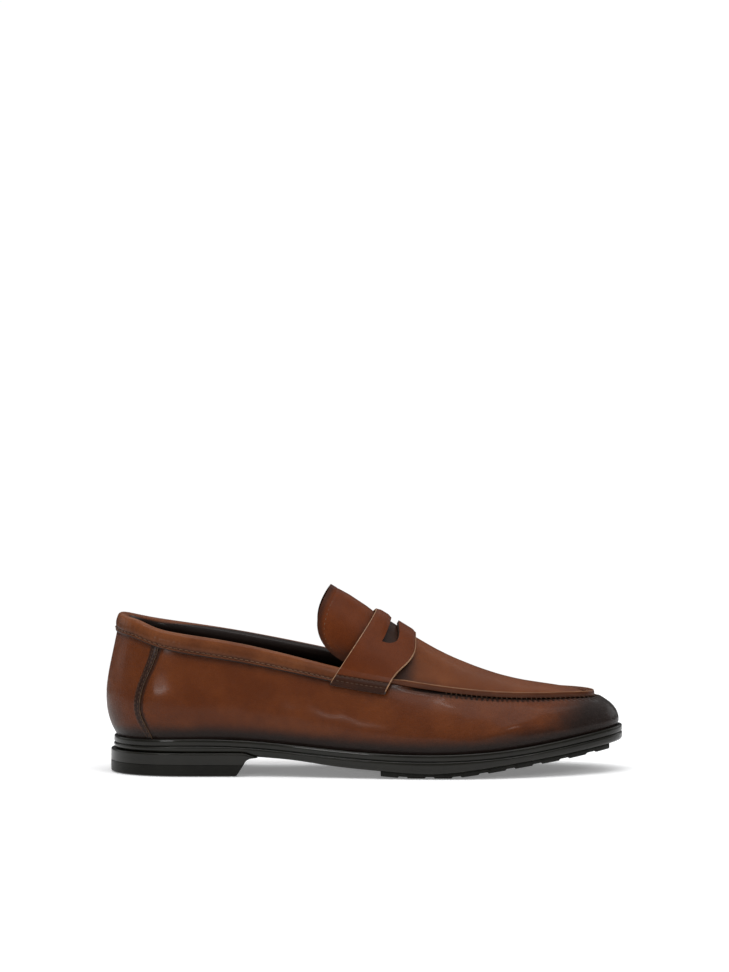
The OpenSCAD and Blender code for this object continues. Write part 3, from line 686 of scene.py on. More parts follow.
n = 620
t = np.linspace(0, 1, n)[:, None]
v = WALL_V[None, :]
start = seam_shape(v) + 0.12
phi = start + (360 - 2 * start) * t
phi, v = np.broadcast_arrays(phi, v)
rest = wall(phi, v)
below = (1 - v) * wall_height(phi)
GATHER_PITCH = 3.0
SEAM_PHI = np.linspace(0, 360, 2001)
seam_line = wall(SEAM_PHI, 1.0)
seam_len = np.concatenate([[0], np.cumsum(np.linalg.norm(np.diff(seam_line, axis=0), axis=1))])
arc = np.interp(phi, SEAM_PHI, seam_len)
back = np.abs((phi + 180) % 360 - 180)
gather = ease(96, 103, back)
notch = (0.5 + 0.5 * np.cos(arc * 2 * math.pi / GATHER_PITCH + 0.7 * wavy(rest, 30, 9))) ** 1.5 * ease(98, 112, back)
pucker = -0.95 * gather * ease(4.2, 2.4, below) - 0.6 * gather * notch * bump(below, 4.7, 1.3) \
    + 0.3 * gather * (1 - notch) * bump(below, 5.8, 1.6)
slack = 0.16 * wavy(rest, 46, 3) + 0.07 * wavy(rest, 17, 5)
x, z = rest[..., 0], rest[..., 2]
fine_lines = bump(x, 205, 5.5) * bump(z, 25, 7) * 0.10 * np.sin(x * 2.6 + 1.1 * np.sin(z * 0.3))
crease_z = z - 27 - 0.34 * (x - 230)
flex = (fine_lines + 0.55 * bump(x, 232, 15) * bump(crease_z, 0, 3.6)
        - 0.3 * bump(x, 236, 20) * bump(crease_z, 8, 5))
quiet = ease(0.0, 0.12, v) * ease(0.5, 3, below)
edge = np.minimum((phi - start), (360 - start - phi)) * DEGREE
lap = -0.35 * ease(3.4, 0.4, edge)
off = (slack + flex) * quiet + pucker + lap
burnish_and_shade = wall_burnish_and_shade(rest, phi, np.maximum(v, 0))
# Darker beside the heel panel's edge: painted shade where the panel laps over the wall, with some burnish.
burnish_and_shade = np.maximum(burnish_and_shade, ease(2.6, 1.2, edge) * 0.7)
# Painted shade under the apron's lip, deepest in the gather notches.
burnish_and_shade = np.maximum(burnish_and_shade, gather * np.maximum(notch * bump(below, 5.0, 1.3), ease(4.8, 3.4, below)) * 1.25)
outer, inner = wall_off(phi, v, off), wall_off(phi, v, -LEATHER)
wall_piece = sheet("vamp_wall_leather", outer, inner, attrs={"burnish_and_shade": burnish_and_shade}, material=upper,
                   slot="upper_leather", rim=0.3)
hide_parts("vamp_wall")

t = np.linspace(-1, 1, 150)[:, None]
v = WALL_V[None, :]
phi = seam_shape(v) * t
phi, v = np.broadcast_arrays(phi, v)
rest = wall(phi, v)
edge = (seam_shape(v) - np.abs(phi)) * DEGREE
wide = 3.3 + 1.3 * ease(0.5, 0.95, v)
off = 0.12 * wavy(rest, 40, 8) * ease(0.0, 0.12, v) + 0.4 * ease(wide + 0.5, wide - 0.1, edge) \
    - 0.14 * bump(edge, wide - 0.8, 0.35) * (v > 0) - 0.14 * bump(edge, 1.0, 0.35) * (v > 0)
off = off * ease(-0.2, 0.05, v)
burnish_and_shade = np.maximum(wall_burnish_and_shade(rest, phi, np.maximum(v, 0)), ease(wide + 0.5, wide - 0.4, edge) * 0.8)
panel = sheet("heel_panel_leather", wall_off(phi, v, off), wall_off(phi, v, -LEATHER),
              attrs={"burnish_and_shade": burnish_and_shade}, material=upper, slot="upper_leather", rim=0.25, rim_material=seam_edge)
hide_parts("heel_panel")

# ------------------------------------------------------------------ upper: apron and its raised seam

rows, cols = 210, 110
u = np.linspace(0, 1, rows)[:, None]
s = np.sin(np.linspace(-1, 1, cols) * math.pi / 2 * 0.93)[None, :] / math.sin(math.pi / 2 * 0.93) * 0.985
back_phi = phi_at(apron_back(s))
phi = back_phi * (1 - u) + 176 * u
phi, s = np.broadcast_arrays(phi, s)
rest = apron(phi, s)
x = rest[..., 0]
half = np.abs(wall(phi, 1.0)[..., 1] - wall(360 - phi, 1.0)[..., 1]) / 2
from_seam = (1 - np.abs(s)) * half
off = 0.14 * wavy(rest, 52, 11) + 0.05 * wavy(rest, 18, 12)
tip = float(wall(180.0, 1.0)[0])
from_lip = np.minimum(from_seam, (tip - x) * 0.8)
off = off * ease(1, 5, from_seam) - 0.5 * bump(from_seam, 2.6, 1.4) * ease(168, 200, x) * ease(270, 232, x) \
    - 1.5 * bump(from_lip, 2.4, 1.7) * ease(228, 272, x)
toe_end = ease(250, 284, x)
# Darker along the seam as painted shade in the groove beside the lip, burnished at the toe end, painted shadow with
# some burnish in front of the strap, and painted shade in the dark crescent under the lip at the toe.
burnish_and_shade = np.maximum.reduce([ease(5, 0.5, from_seam) * 0.55, toe_end * 0.42,
                          bump(x, 172, 10) * ease(0.28, 0.8, np.abs(s)) * 0.75,
                          bump(from_lip, 2.2, 1.6) * ease(222, 274, x) * 1.2])
# Painted shade on the apron under the strap.
burnish_and_shade = np.where(x < strap_front(rest[..., 2]) - 3, np.maximum(burnish_and_shade, 0.8), burnish_and_shade)
apron_piece = sheet("apron_leather", apron_off(phi, s, off), apron_off(phi, s, -LEATHER),
                    attrs={"burnish_and_shade": burnish_and_shade}, material=apron_tone, slot="upper_leather", rim=0.3)
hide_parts("apron")

bead_phi = float(strap_phi(np.array([1.0]), strap_front, 98)[0]) - 0.5
phi = np.linspace(bead_phi, 360 - bead_phi, 720)
normal = wall_normal(phi, 1.0)
up = unit(normal + np.array([0, 0, 1.5]))
along = unit(wall(phi + 1, 1.0) - wall(phi - 1, 1.0))
side = -np.cross(along, up)
arc = np.interp(phi, SEAM_PHI, seam_len)
PROFILE = np.array([[-1.45, -0.5], [-1.5, 0.6], [-1.42, 1.7], [-1.15, 2.5], [-0.75, 2.88], [-0.35, 2.75],
                    [-0.12, 2.3], [0.08, 2.15], [0.35, 2.3], [0.75, 2.22], [1.15, 1.8],
                    [1.42, 1.15], [1.42, 0.5], [1.1, 0.0], [0.6, -0.5]])
profile = smooth_line(PROFILE, 3)
wave = 0.10 * np.cos(arc * 2 * math.pi / GATHER_PITCH) * ease(104, 116, np.minimum(phi, 360 - phi))
scale_end = 0.72 + 0.28 * ease(0.8, 3.5, np.minimum(phi - bead_phi, 360 - bead_phi - phi))
base = wall(phi, 1.0)
width = profile[None, :, 0] + wave[:, None] * (profile[None, :, 0] > 0)
rings = (base[:, None, :] + side[:, None, :] * width[..., None]
         + up[:, None, :] * (profile[None, :, 1] * scale_end[:, None])[..., None])
light_line = np.broadcast_to(bump(profile[:, 1], 2.9, 0.3) * (profile[:, 0] < 0.1), rings.shape[:2])
grain_row = np.broadcast_to(bump(profile[:, 1], 1.9, 0.5) * (profile[:, 0] > 0.6), rings.shape[:2])
pinch = (0.5 + 0.5 * np.cos(arc * 2 * math.pi / GATHER_PITCH))[:, None] ** 2
light = (0.75 + 0.25 * wavy(rings, 22, 61)) * light_line + 0.22 * grain_row * pinch
# Painted shade in the groove along the lip's top and where the lip's outer face meets the wall.
lip_painted_shade = np.maximum(bump(np.arange(len(profile)), 20.5, 1.6) * 0.75,
                    ease(1.0, 0.2, profile[:, 1]) * (profile[:, 0] > 0) * 0.95)
lip_painted_shade = np.broadcast_to(lip_painted_shade, rings.shape[:2])
toe_dark = ease(238, 282, rings[..., 0]) * 0.25
lip = loft("apron_lip", rings, attrs={"burnish_and_shade": np.clip(lip_painted_shade + toe_dark, 0, 1), "light": np.clip(light, 0, 1)},
           material=lip_leather, slot="upper_leather")
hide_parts("apron_bead")

# ------------------------------------------------------------------ saddle strap

SLOT_G, SLOT_BACK = 0.655, 0.375
STRAP_END, STRAP_THICK = 1.26, 1.6
half_g = np.concatenate([np.linspace(0, SLOT_G - 0.03, 40), np.linspace(SLOT_G - 0.03, SLOT_G, 12)[1:],
                         np.linspace(SLOT_G, 1.0, 34)[1:], np.linspace(1.0, STRAP_END, 34)[1:]])
gs = np.concatenate([-half_g[:0:-1], half_g])
w = np.abs(gs)
u = np.clip(w / SLOT_G, 0, 1)
front = SLOT_BACK + np.maximum((0.12 + 0.2 * u) * np.sqrt(np.maximum(0, 1 - u ** 7)) + 0.05 * bump(gs, 0, 0.1), 0.015)
front = front + 0.10 * ease(SLOT_G, SLOT_G + 0.2, w)
a_part, b_part = np.concatenate([[0], np.linspace(0.035, 1, 14)]), np.linspace(0, 1, 9)[1:]
c_part = np.concatenate([np.linspace(0, 0.966, 18)[1:], [1]])
shares = np.concatenate([SLOT_BACK * a_part[None, :] + 0 * w[:, None],
                         SLOT_BACK + (front[:, None] - SLOT_BACK) * b_part[None, :],
                         front[:, None] + (1 - front[:, None]) * c_part[None, :]], 1)
pa, pb = strap_phi(gs, strap_back, 88), strap_phi(gs, strap_front, 98)
phi = pa[:, None] + (pb - pa)[:, None] * shares
g = np.broadcast_to(gs[:, None], phi.shape)
rest = girth_off(phi, g, 0 * g)
width_mm = np.linalg.norm(rest[:, -1] - rest[:, 0], axis=1)[:, None]
from_back, from_front = shares * width_mm, (1 - shares) * width_mm
lift = strap_lift(g) + 0.08 * wavy(rest, 26, 21)
cell, slot_cell = np.arange(phi.shape[1] - 1)[None, :], len(a_part) - 1
open_cell = (cell >= slot_cell) & (cell < slot_cell + len(b_part)) & \
    ((np.abs(gs[:-1]) <= SLOT_G + 1e-6) & (np.abs(gs[1:]) <= SLOT_G + 1e-6))[:, None]
round_edge = (ease(3.2, 0.0, np.minimum(from_back, from_front))
              + ease(2.6, 0, np.abs(from_back - SLOT_BACK * width_mm)) * (w < SLOT_G)[:, None])
puff_strap = (0.45 - 0.75 * np.clip(round_edge, 0, 1)) * ease(0.75, 0.2, w)[:, None]
from_end = (STRAP_END - np.abs(g)) * wall_height(phi)
pressed = -0.22 * bump(from_end, 2.2, 0.6) - 0.22 * bump(from_end, 5.2, 0.6)
burnish_and_shade = np.maximum.reduce([ease(6.9, 5.4, from_end) * 0.8, ease(2.4, 0.4, from_back) * 0.35,
                          ease(2.4, 0.4, from_front) * 0.35, ease(14, 6, from_end) * 0.3])
top = girth_off(phi, g, lift + STRAP_THICK + puff_strap + pressed)
stay = bump(from_front, 6.5, 2.4) * ease(1.2, 1.1, np.abs(g))
bottom = girth_off(phi, g, lift - (lift - 0.15) * stay)
strap = sheet("saddle_strap_leather", top, bottom, solid=~open_cell, attrs={"burnish_and_shade": burnish_and_shade}, material=strap_tone,
              slot="upper_leather", rim=0.4, rim_material=cut_edge)
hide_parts("saddle_strap")
for i, j in enumerate(np.nonzero(~open_cell)[1]):
    if j in (0, phi.shape[1] - 2):
        strap.data.polygons[i].material_index = 1
end_lines = np.concatenate([top[0], bottom[0], top[-1], bottom[-1]])
slot_faces = np.array([p.index for p in strap.data.polygons if p.material_index == 1])
centres = np.array([strap.data.polygons[i].center for i in slot_faces]) * 1000 - SHIFT
cx, cy, cz = centres.T
inside = (np.abs(cy) < 27) & (cx > strap_back(cz) + 5) & (cx < strap_front(cz) - 5)
at_end = np.min(np.linalg.norm(centres[:, None] - end_lines[None], axis=-1), axis=1) < 1.3
for i, dark in zip(slot_faces, inside | at_end):
    if dark:
        strap.data.polygons[i].material_index = 2
strap.data.materials.append(dark_edge)

# ------------------------------------------------------------------ collar band

BAND_OUT = np.array([[-1, 0.95], [-0.9, 1.2], [-0.8, 0.95], [-0.62, 1.4], [-0.4, 1.6], [-0.16, 1.35], [0.35, 0.95],
                     [1.5, -0.2], [1.85, -1.5], [1.75, -3.0], [0.6, -4.9]])
BAND_IN = np.array([[-1, 0.1], [-0.9, 0.25], [-0.8, 0.25], [-0.62, 0.4], [-0.4, 0.5], [-0.16, 0.45], [0.0, 0.1],
                    [0.5, -0.6], [0.8, -1.6], [0.7, -2.9], [-0.05, -4.2]])
TURN_OUT, TURN_IN = np.array([[2.2, -6.0], [5.5, -5.9]]), np.array([[2.2, -5.0], [5.5, -5.0]])


def band_side(phi, band, turned, extra):
    p = []
    for a, b in band:
        d = np.maximum(0, -a) * band_w(phi)
        q = wall_off(phi, down(phi, d), b + extra * (0 if a > 0.3 or a < -0.85 else 1))
        q[:, 2] += max(0, a)
        p.append(q)
    for a, b in turned:
        p.append(wall_off(phi, down(phi, a), b))
    return smooth_line(np.stack(p, 1), 6)


phi = np.linspace(-86.4, 86.4, 520)
line = wall(phi, down(phi, 5.0))
arc = np.concatenate([[0], np.cumsum(np.linalg.norm(np.diff(line, axis=0), axis=1))])
quilt = 0.05 * np.cos(arc * 2 * math.pi / 3.2) + 0.10 * wavy(line, 30, 31)
outer = band_side(phi, BAND_OUT, TURN_OUT, quilt)
inner = band_side(phi, BAND_IN, TURN_IN, 0 * quilt)
k = np.arange(outer.shape[1]) / 6.0
# Painted shade on the band's lower lip and in the stitch groove, darker over the lower face, and painted lighter near
# the top where the light falls.
low = ease(1.0, 0.1, k)[None, :] * 0.6
groove_and_lower_shade = bump(k, 2.0, 0.5)[None, :] * 0.3 + 0.25 * ease(6.2, 3.6, k)[None, :]
inside_start = 9.9 - 1.6 * ease(30, 62, np.abs(phi))[:, None]
inside_dark = ease(0.0, 0.8, k[None, :] - inside_start) * 0.97
painted_top_highlight = -0.25 * bump(k, 6.6, 1.0)[None, :]
heel_dark = 0.1 * ease(-60, -30, phi)[:, None] * ease(30, 0, phi)[:, None]
burnish_and_shade = np.clip(low + groove_and_lower_shade + inside_dark + painted_top_highlight + 0.12 + heel_dark, 0, 1)
# Painted glint: a pale, uneven line along the band's inner top edge.
light = (0.32 + 0.3 * wavy(outer, 14, 33)) * bump(k, 7.4, 0.4)[None, :]
band = sheet("collar_band", outer, inner, attrs={"burnish_and_shade": burnish_and_shade, "light": np.clip(light, 0, 1)},
             material=band_leather, slot="band_leather", rim=0.3)
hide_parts("collar_binding")

# ------------------------------------------------------------------ tongue

TONGUE_SIDE = 0.94


def tongue_sheet(name, outer_off, thick, inset, puffed, rows=72, cols=110, **more):
    q = np.linspace(-1, 1, cols)
    s = (np.sign(q) * (1 - (1 - np.abs(q)) ** 1.35) * (TONGUE_SIDE - inset / 60))[None, :]
    a = tongue_back(s) + inset
    b = np.maximum(a + 1, tongue_front(s) - inset * 0.3)
    r = np.linspace(0, 1, rows)[:, None]
    x = a + (b - a) * r
    s = np.broadcast_to(s, x.shape)
    rest = tongue(x, s)
    side = np.linspace(-TONGUE_SIDE, TONGUE_SIDE, 300)
    line = tongue(tongue_back(side), side)
    d = np.min(np.linalg.norm(rest[:, :, None, :] - line[None, None, ::3, :], axis=-1), axis=-1)
    off = outer_off
    if puffed:
        off = off + 0.4 * ease(4.6, 14.0, d) * ease(0, 9, tongue_front(s) - x) * ease(0.95, 0.5, np.abs(s)) \
            - 0.16 * bump(d, 4.7, 0.6) + 0.06 * wavy(rest, 24, 41) \
            - 0.45 * bump(x, 157.5, 3.5) * ease(0.8, 0.35, np.abs(s))
    burnish_and_shade = np.maximum.reduce([ease(5.2, 1.0, d) * 0.65, ease(7, 0, tongue_front(s) - x) * 0.5,
                              ease(0.72, 0.92, np.abs(s)) * 0.6])
    return sheet(name, tongue_off(x, s, off), tongue_off(x, s, outer_off - thick), attrs={"burnish_and_shade": burnish_and_shade},
                 body="tongue_body", **more)


tongue_piece = tongue_sheet("tongue_leather", 0.0, LEATHER, 0.0, True, material=strap_tone,
                            slot="upper_leather", rim=0.35, rim_material=tongue_edge)
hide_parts("tongue")
tongue_inside = tongue_sheet("tongue_lining_leather", -LEATHER - 1 - 2 * GAP, 0.8, 1.0, False, rows=30, cols=60,
                             material=lining, slot="lining_leather", rim=0.25)
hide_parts("tongue_lining")

# ------------------------------------------------------------------ linings and sock


def lining_off(phi, v):
    c = np.cos(np.radians(phi))
    low = -LEATHER - SLACK - (1.2 + SLACK) * ease(0.2, 0.42, c) - (0.8 + SLACK) * ease(0.55, 0.7, -c)
    k = np.where(v < 0.5, 0, ease(15, 10.5, (1 - v) * wall_height(phi)))
    return low * (1 - k) - (LEATHER + 1.6 + 2 * SLACK) * k


def lining_piece(name, node, a, b, top, material, slot, seed):
    phi = np.linspace(a, b, max(20, int(abs(b - a) * 1.4)))[:, None]
    r = np.linspace(0, 1, 48)[None, :]
    high = down(phi, 2.6) if top is None else top + 0 * phi
    v = 0.07 + (high - 0.07) * r
    phi, v = np.broadcast_arrays(phi, v)
    off = lining_off(phi, v) if top is None else lining_off(phi, 0 * v)
    soft = -0.12 - 0.12 * wavy(wall(phi, v), 34, seed)
    o = sheet(name, wall_off(phi, v, off), wall_off(phi, v, off - 1.0 + np.minimum(0, soft) * ease(0, 0.1, r)),
              material=material, slot=slot, rim=0.3)
    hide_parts(node)


lining_piece("lining_lateral", "quarter_lining_lateral", 35.2, 87.8, None, lining, "lining_leather", 51)
lining_piece("lining_medial", "quarter_lining_medial", 272.2, 324.8, None, lining, "lining_leather", 52)
lining_piece("heel_grip", "heel_grip_lining", -35, 35, None, grip, "grip_leather", 53)
lining_piece("lining_vamp", "vamp_lining", 88, 272, 0.93, lining, "lining_leather", 54)

u = np.linspace(0, 1, 70)[:, None]
s = np.linspace(-0.9, 0.9, 50)[None, :]
phi, s = np.broadcast_arrays(97 + 75 * u, s)
o = sheet("lining_apron", apron_off(phi, s, -LEATHER - SLACK), apron_off(phi, s, -LEATHER - SLACK - 0.8),
          material=lining, slot="lining_leather", rim=0.25)
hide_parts("apron_lining")

BOARD_LOW = -RIM + LEATHER + GAP
CUSHION_HIGH = BOARD_LOW + 2 + GAP + 2.5


def floor_sheet(name, inset, low, high, edge, **more):
    """A flat piece under the foot with a rounded edge, its rim turned down."""
    phi = (90 - 88 * np.cos(np.linspace(0, math.pi, 240)))[:, None]
    r = np.linspace(-1, 1, 80)
    r = (np.sign(r) * (1 - (1 - np.abs(r)) ** 1.6))[None, :]
    a, b = at_section(phi, -inset, 0.0), at_section(360 - phi, -inset, 0.0)
    p = a + (b - a) * ((r + 1) / 2)[..., None]
    p[..., 2] = feather_z(phi_at(p[..., 0]))
    half = np.linalg.norm(b - a, axis=-1) / 2
    near = np.minimum((1 - np.abs(r)) * half, np.minimum(phi - 2, 178 - phi) * 2.2)
    round_edge = -edge * (1 - np.sqrt(np.maximum(0, 1 - (1 - np.clip(near / edge, 0, 1)) ** 2)))
    top, bottom = p.copy(), p.copy()
    droop = -2.3 * ease(1.5, 0.3, near)
    top[..., 2] += high + round_edge + droop
    bottom[..., 2] += low + droop
    return sheet(name, top, bottom, rim=0.15, **more)


sock = floor_sheet("sock_leather", 4.5, CUSHION_HIGH + GAP, CUSHION_HIGH + GAP + 1, 0.7, material=sock_leather,
                   slot="lining_leather")
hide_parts("sock")

# ------------------------------------------------------------------ sole and heel


def arc_points(cx, cz, r, a0, a1, n):
    a = np.radians(np.linspace(a0, a1, n))
    return [(cx + r * math.cos(q), cz + r * math.sin(q)) for q in a]


def edge_profile(phi):
    """The outsole's edge at one section: [mm out from the feather line, mm up from it]."""
    e = float(sole_edge(phi))
    h = float(feather_z(phi) - sole_under(at_section(phi, e - 1.6, 0.0)[0]))
    rim = [(-0.6, -RIM - GAP), (GAP, -RIM - GAP), (GAP + 0.02, -1.0), (GAP + 0.2, -0.2), (e - 1.5, 0.0)]
    bead = arc_points(e - 1.05, -0.85, 0.85, 78, 12, 7) + [(e - 0.16, -1.6), (e - 0.14, -2.4)]
    bead += arc_points(e - 1.0, -3.0, 0.88, 8, -56, 6)
    groove = [(e - 1.0, -3.93), (e - 1.1, -4.05), (e - 1.0, -4.17)]
    second = arc_points(e - 0.9, -5.05, 0.9, 80, 4, 8)
    lower_r = min(2.3, max(0.5, h - 5.3))
    lower_arc = arc_points(e - lower_r, -h + lower_r, lower_r, 0, -86, 10)
    return np.array(rim + bead + groove + second + lower_arc)


rings = []
phis = np.concatenate([np.linspace(0, 20, 40)[:-1], np.linspace(20, 160, 200)[:-1], np.linspace(160, 180, 44)])
for p in phis:
    prof = edge_profile(p)
    a = at_section(p, prof[:, 0], feather_z(p) + prof[:, 1])
    b = at_section(360 - p, prof[:, 0], feather_z(p) + prof[:, 1])
    across = np.linspace(0, 1, 14)[1:-1, None]
    rings.append(np.concatenate([a, a[-1] + (b[-1] - a[-1]) * across, b[::-1], b[0] + (a[0] - b[0]) * across]))
outsole = loft("outsole_rubber", np.array(rings), closed_ends=False, material=sole_rubber, slot="sole_rubber")
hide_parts("outsole")

TREAD_T, CUT, PITCH, TREAD_A, TREAD_B = 3.0, 0.8, 15.6, 159.3, 292.5
stations = []
for i in range(9):
    x0 = TREAD_A + i * PITCH
    for dx, dep in ((0.05, 0.25), (0.35, 0), (2, 0), (4, 0), (6, 0), (8, 0), (9.8, 0), (10.1, 0.15), (10.5, 0.8),
                    (10.9, 1), (12, 1), (13.5, 1), (15.0, 1), (15.35, 0.8)):
        if x0 + dx < TREAD_B:
            stations.append((x0 + dx, dep))
rings = []
for x0, dep in stations + [(TREAD_B, 0.3)]:
    p = float(phi_at(x0))
    top = float(sole_under(x0)) - 0.02
    e = float(sole_edge(p))
    low = max(0.0, float(sole_under(x0)) - TREAD_T - GAP) + dep * CUT
    a0, b0 = at_section(p, e - 2.6, top), at_section(360 - p, e - 2.6, top)
    width = b0[1] - a0[1]
    pts = []
    for q in 0.5 - 0.5 * np.cos(np.linspace(0, 1, 40) * math.pi):
        near = min(q, 1 - q) * width
        pt = a0 + (b0 - a0) * q
        pts.append([pt[0], pt[1], low + 0.7 * max(0, 1 - near / 0.9) ** 2])
    rings.append(pts + [list(b0), list(a0)])
tread = loft("forepart_tread_rubber", np.array(rings), material=tread_rubber, slot="tread_rubber")
m = tread.modifiers.new("rim", "BEVEL")
m.width, m.segments, m.limit_method, m.angle_limit = 0.00025, 2, "ANGLE", math.radians(35)
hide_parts("forepart_tread")

HEEL_PROUD = 3.6


def breast_x(z):
    """Front of the heel at the outer side: it leans forward, then sweeps into the sole."""
    return 75.8 + 0.62 * z + 5.2 * max(0.0, (z - 7.6) / 4.6) ** 2.2


def heel_ring(level, shrink, low, high):
    """One closed line round the heel; level 0 is its underside and 1 its top, which follows the sole."""
    z_front = low + (min(high, 12.2) - low) * level
    end = float(phi_at(breast_x(z_front) + 0.4 - shrink * 0.8))
    rear = at_section(np.linspace(-end, end, 150), HEEL_PROUD - shrink, 0.0)
    a, b = rear[0], rear[-1]
    t = np.linspace(0, 1, 50)[1:-1, None]
    breast = b + (a - b) * t
    breast[:, 0] -= (12 * t * (1 - t))[:, 0]
    ring = np.concatenate([rear, breast])
    top = np.minimum(high, sole_under(ring[:, 0]) - 0.04)
    ring[:, 2] = low + (top - low) * level
    return ring


def heel_piece(name, node, z0, z1, r0, r1, material, slot):
    tall = z1 - z0
    quarter = np.linspace(0, math.pi / 2, 6)
    prof = [(0, 3.0)] + [(r0 * (1 - math.cos(q)) / tall, r0 * (1 - math.sin(q))) for q in quarter]
    prof += [(k, 0) for k in np.linspace(r0 / tall, 1 - r1 / tall, 9)[1:-1]]
    prof += [(1 - r1 * (1 - math.cos(q)) / tall, r1 * (1 - math.sin(q))) for q in quarter[::-1]] + [(1, 3.0)]
    o = loft(name, np.array([heel_ring(k, sh, z0, z1) for k, sh in prof]), material=material, slot=slot)
    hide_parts(node)


heel_piece("heel_block_rubber", "heel_block", TOP_PIECE + 0.06, HEEL_H - 0.04, 0.2, 0.8, sole_rubber, "sole_rubber")
heel_piece("heel_top_piece_rubber", "heel_top_piece", 0.0, TOP_PIECE, 0.9, 0.2, tread_rubber, "tread_rubber")

# ------------------------------------------------------------------ stitching


def stitch_on(surface, count, pitch, share, radius, name, node, material, slot, body="shoe", sink=0.0, more=()):
    """Stitches along surface(t, lift) for t from 0 to 1; several lines can make one piece."""
    s0, s1, nn = [], [], []
    for f in [surface, *more]:
        t = np.linspace(0, 1, count)
        line, high = f(t, 0.0), f(t, 1.0)
        a, b, k = along_line(line, pitch, share)
        s0.append(a)
        s1.append(b)
        nn.append(unit((high - line)[np.round(k).astype(int)]))
    o = capsule_row(name, np.concatenate(s0), np.concatenate(s1), np.concatenate(nn), radius, sink, body=body,
                    material=material, slot=slot)
    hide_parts(node)


def collar_line(t, lift):
    phi = (2 * t - 1) * 84
    return wall_off(phi, down(phi, band_w(phi) * 0.8), 1.42 + lift)


stitch_on(collar_line, 700, 3.2, 0.66, 0.27, "collar_thread", "collar_stitches", tan_thread, "thread")


def heel_line(side, away):
    def f(t, lift):
        v = 0.02 + 0.83 * t
        return wall_off(side * (seam_shape(v) - away / DEGREE), v, 0.32 + lift)
    return f


stitch_on(heel_line(-1, 1.0), 200, 2.6, 0.68, 0.24, "heel_seam_thread", "heel_seam_stitches", dark_thread,
          "dark_thread", more=[heel_line(-1, 2.7), heel_line(1, 1.0), heel_line(1, 2.7)])


def strap_line(side, mm):
    def f(t, lift):
        a, b = strap_phi(np.array([1.2]), strap_back, 88)[0], strap_phi(np.array([1.2]), strap_front, 98)[0]
        phi = a + (b - a) * (0.05 + 0.88 * t)
        g = STRAP_END - mm / wall_height(phi)
        return girth_off(phi, side * g, strap_lift(g) + STRAP_THICK - 0.2 + lift)
    return f


stitch_on(strap_line(-1, 2.2), 120, 2.8, 0.68, 0.26, "strap_thread", "strap_stitches", dark_thread, "dark_thread",
          more=[strap_line(-1, 5.2), strap_line(1, 2.2), strap_line(1, 5.2)])


def tongue_line(t, lift):
    s = (2 * t - 1) * 0.86
    return tongue_off(tongue_back(s) + 4.7 - 1.6 * ease(0.6, 0.86, np.abs(s)), s, -0.22 + lift)


stitch_on(tongue_line, 400, 3.0, 0.64, 0.24, "tongue_thread", "tongue_stitches", tan_thread, "thread",
          body="tongue_body")

arc0, arc1 = np.interp([108, 252], SEAM_PHI, seam_len)
first = math.ceil(arc0 / GATHER_PITCH)
marks = np.interp(np.arange(first, int(arc1 / GATHER_PITCH)) * GATHER_PITCH, seam_len, SEAM_PHI)
s0 = wall_off(marks, down(marks, 3.4), -0.05)
s1 = wall_off(marks, down(marks, 0.5), 0.25)
o = capsule_row("apron_thread", s0, s1, wall_normal(marks, down(marks, 2.0)), 0.24, 0.05,
                material=dark_thread, slot="dark_thread")
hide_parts("apron_stitches")

# ------------------------------------------------------------------ carried-over CAD nodes

for material, nodes in ((foam_mat, ("collar_foam", "tongue_foam", "sock_cushion")),
                        (stiff_mat, ("toe_puff", "heel_counter")), (board_mat, ("insole_board",)),
                        (steel_mat, ("shank", "heel_nails")), (filler_mat, ("forepart_filler",))):
    for node in nodes:
        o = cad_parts[node]
        o.data.materials.clear()
        o.data.materials.append(material)

# ------------------------------------------------------------------ stage, light and camera

me = bpy.data.meshes.new("floor")
FLOOR_Z = -0.0004
me.from_pydata([(-1.4, -1.5, FLOOR_Z), (1.4, -1.5, FLOOR_Z), (1.4, 0.45, FLOOR_Z), (-1.4, 0.45, FLOOR_Z)],
               [], [(0, 1, 2, 3)])
floor = bpy.data.objects.new("floor", me)
link(floor)
n = Nodes("floor_white")
n.set(color=(0.95, 0.95, 0.95), rough=0.8, spec=0.05)
n.b.inputs["Emission Color"].default_value, n.b.inputs["Emission Strength"].default_value = (1, 1, 1, 1), 0.21
me.materials.append(n.m)

scene = bpy.context.scene
scene.view_settings.view_transform = "Standard"
scene.view_settings.look = "None"
world = bpy.data.worlds.new("studio")
scene.world = world
world.use_nodes = True
t = world.node_tree
t.nodes.clear()
out = t.nodes.new("ShaderNodeOutputWorld")
bright, soft, mixed, path = (t.nodes.new("ShaderNode" + k)
                             for k in ("Background", "Background", "MixShader", "LightPath"))
bright.inputs["Color"].default_value, bright.inputs["Strength"].default_value = (1, 1, 1, 1), 1.02
sky, split, ramp = (t.nodes.new("ShaderNode" + k) for k in ("TexCoord", "SeparateXYZ", "MapRange"))
t.links.new(sky.outputs["Generated"], split.inputs[0])
t.links.new(split.outputs["Z"], ramp.inputs["Value"])
ramp.interpolation_type = "SMOOTHSTEP"
for key, value in (("From Min", 0.0), ("From Max", 0.9), ("To Min", 0.04), ("To Max", 0.5)):
    ramp.inputs[key].default_value = value
soft.inputs["Color"].default_value = (0.97, 0.98, 1, 1)
t.links.new(ramp.outputs[0], soft.inputs["Strength"])
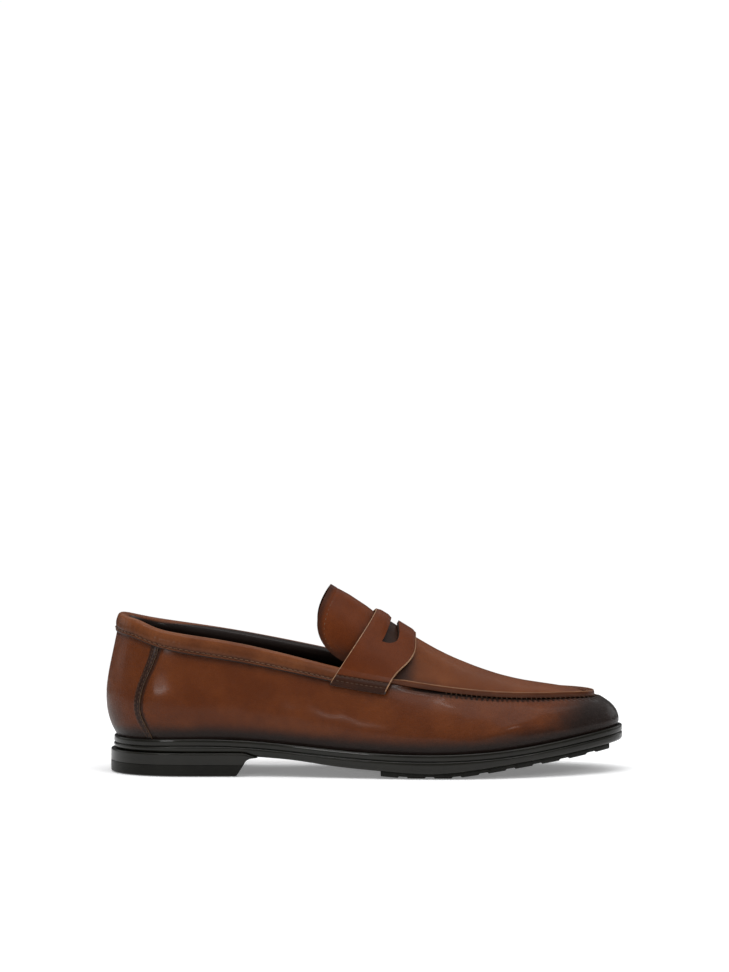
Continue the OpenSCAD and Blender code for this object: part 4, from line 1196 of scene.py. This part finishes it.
t.links.new(path.outputs["Is Camera Ray"], mixed.inputs[0])
t.links.new(soft.outputs[0], mixed.inputs[1])
t.links.new(bright.outputs[0], mixed.inputs[2])
t.links.new(mixed.outputs[0], out.inputs["Surface"])


def area(name, place, target, size, power, size_y):
    light = bpy.data.lights.new(name, "AREA")
    light.shape, light.size, light.size_y, light.energy = "RECTANGLE", size, size_y, power
    o = bpy.data.objects.new(name, light)
    o.location = place
    o.rotation_euler = (Vector(target) - Vector(place)).to_track_quat("-Z", "Y").to_euler()
    link(o)


area("overhead", (0.0, -0.45, 2.3), (0, 0, 0.03), 3.0, 33, 2.2)
area("front_left", (-0.86, -1.8, 0.385), (-0.1, 0, 0.05), 0.5, 3.6, 0.09)
area("strip", (-0.15, -0.45, 1.6), (0, 0, 0.03), 1.1, 5.0, 0.14)
area("back", (0.0, 1.3, 1.25), (0, 0, 0.05), 1.8, 2.6, 0.3)
area("front_right", (1.05, -1.35, 0.98), (0.07, 0, 0.03), 0.4, 3.0, 0.3)
area("back_right", (1.3, 1.0, 0.5), (0.1, 0, 0.04), 1.2, 2.8, 0.6)
area("back_left", (-1.4, 0.6, 0.5), (-0.1, 0, 0.05), 1.0, 2.2, 0.6)

CAMERA_DISTANCE, PITCH_DOWN = 8.0, math.radians(6)
VIEW_HEIGHT, SHOE_BELOW_MIDDLE = 0.56619, 0.120694  # of the picture, in metres at the shoe
SENSOR = 36
target = Vector((0.0, 0.0, 0.045))
place = target + Vector((0, -math.cos(PITCH_DOWN), math.sin(PITCH_DOWN))) * CAMERA_DISTANCE
cam = bpy.data.cameras.new("camera")
cam.lens = SENSOR * CAMERA_DISTANCE / VIEW_HEIGHT
cam.sensor_width = SENSOR
cam.clip_end = 50
o = bpy.data.objects.new("camera", cam)
o.location = place
o.rotation_euler = (math.pi / 2 - PITCH_DOWN + math.atan(SHOE_BELOW_MIDDLE / CAMERA_DISTANCE), 0, 0)
link(o)
bpy.context.scene.camera = o

bpy.context.view_layer.update()
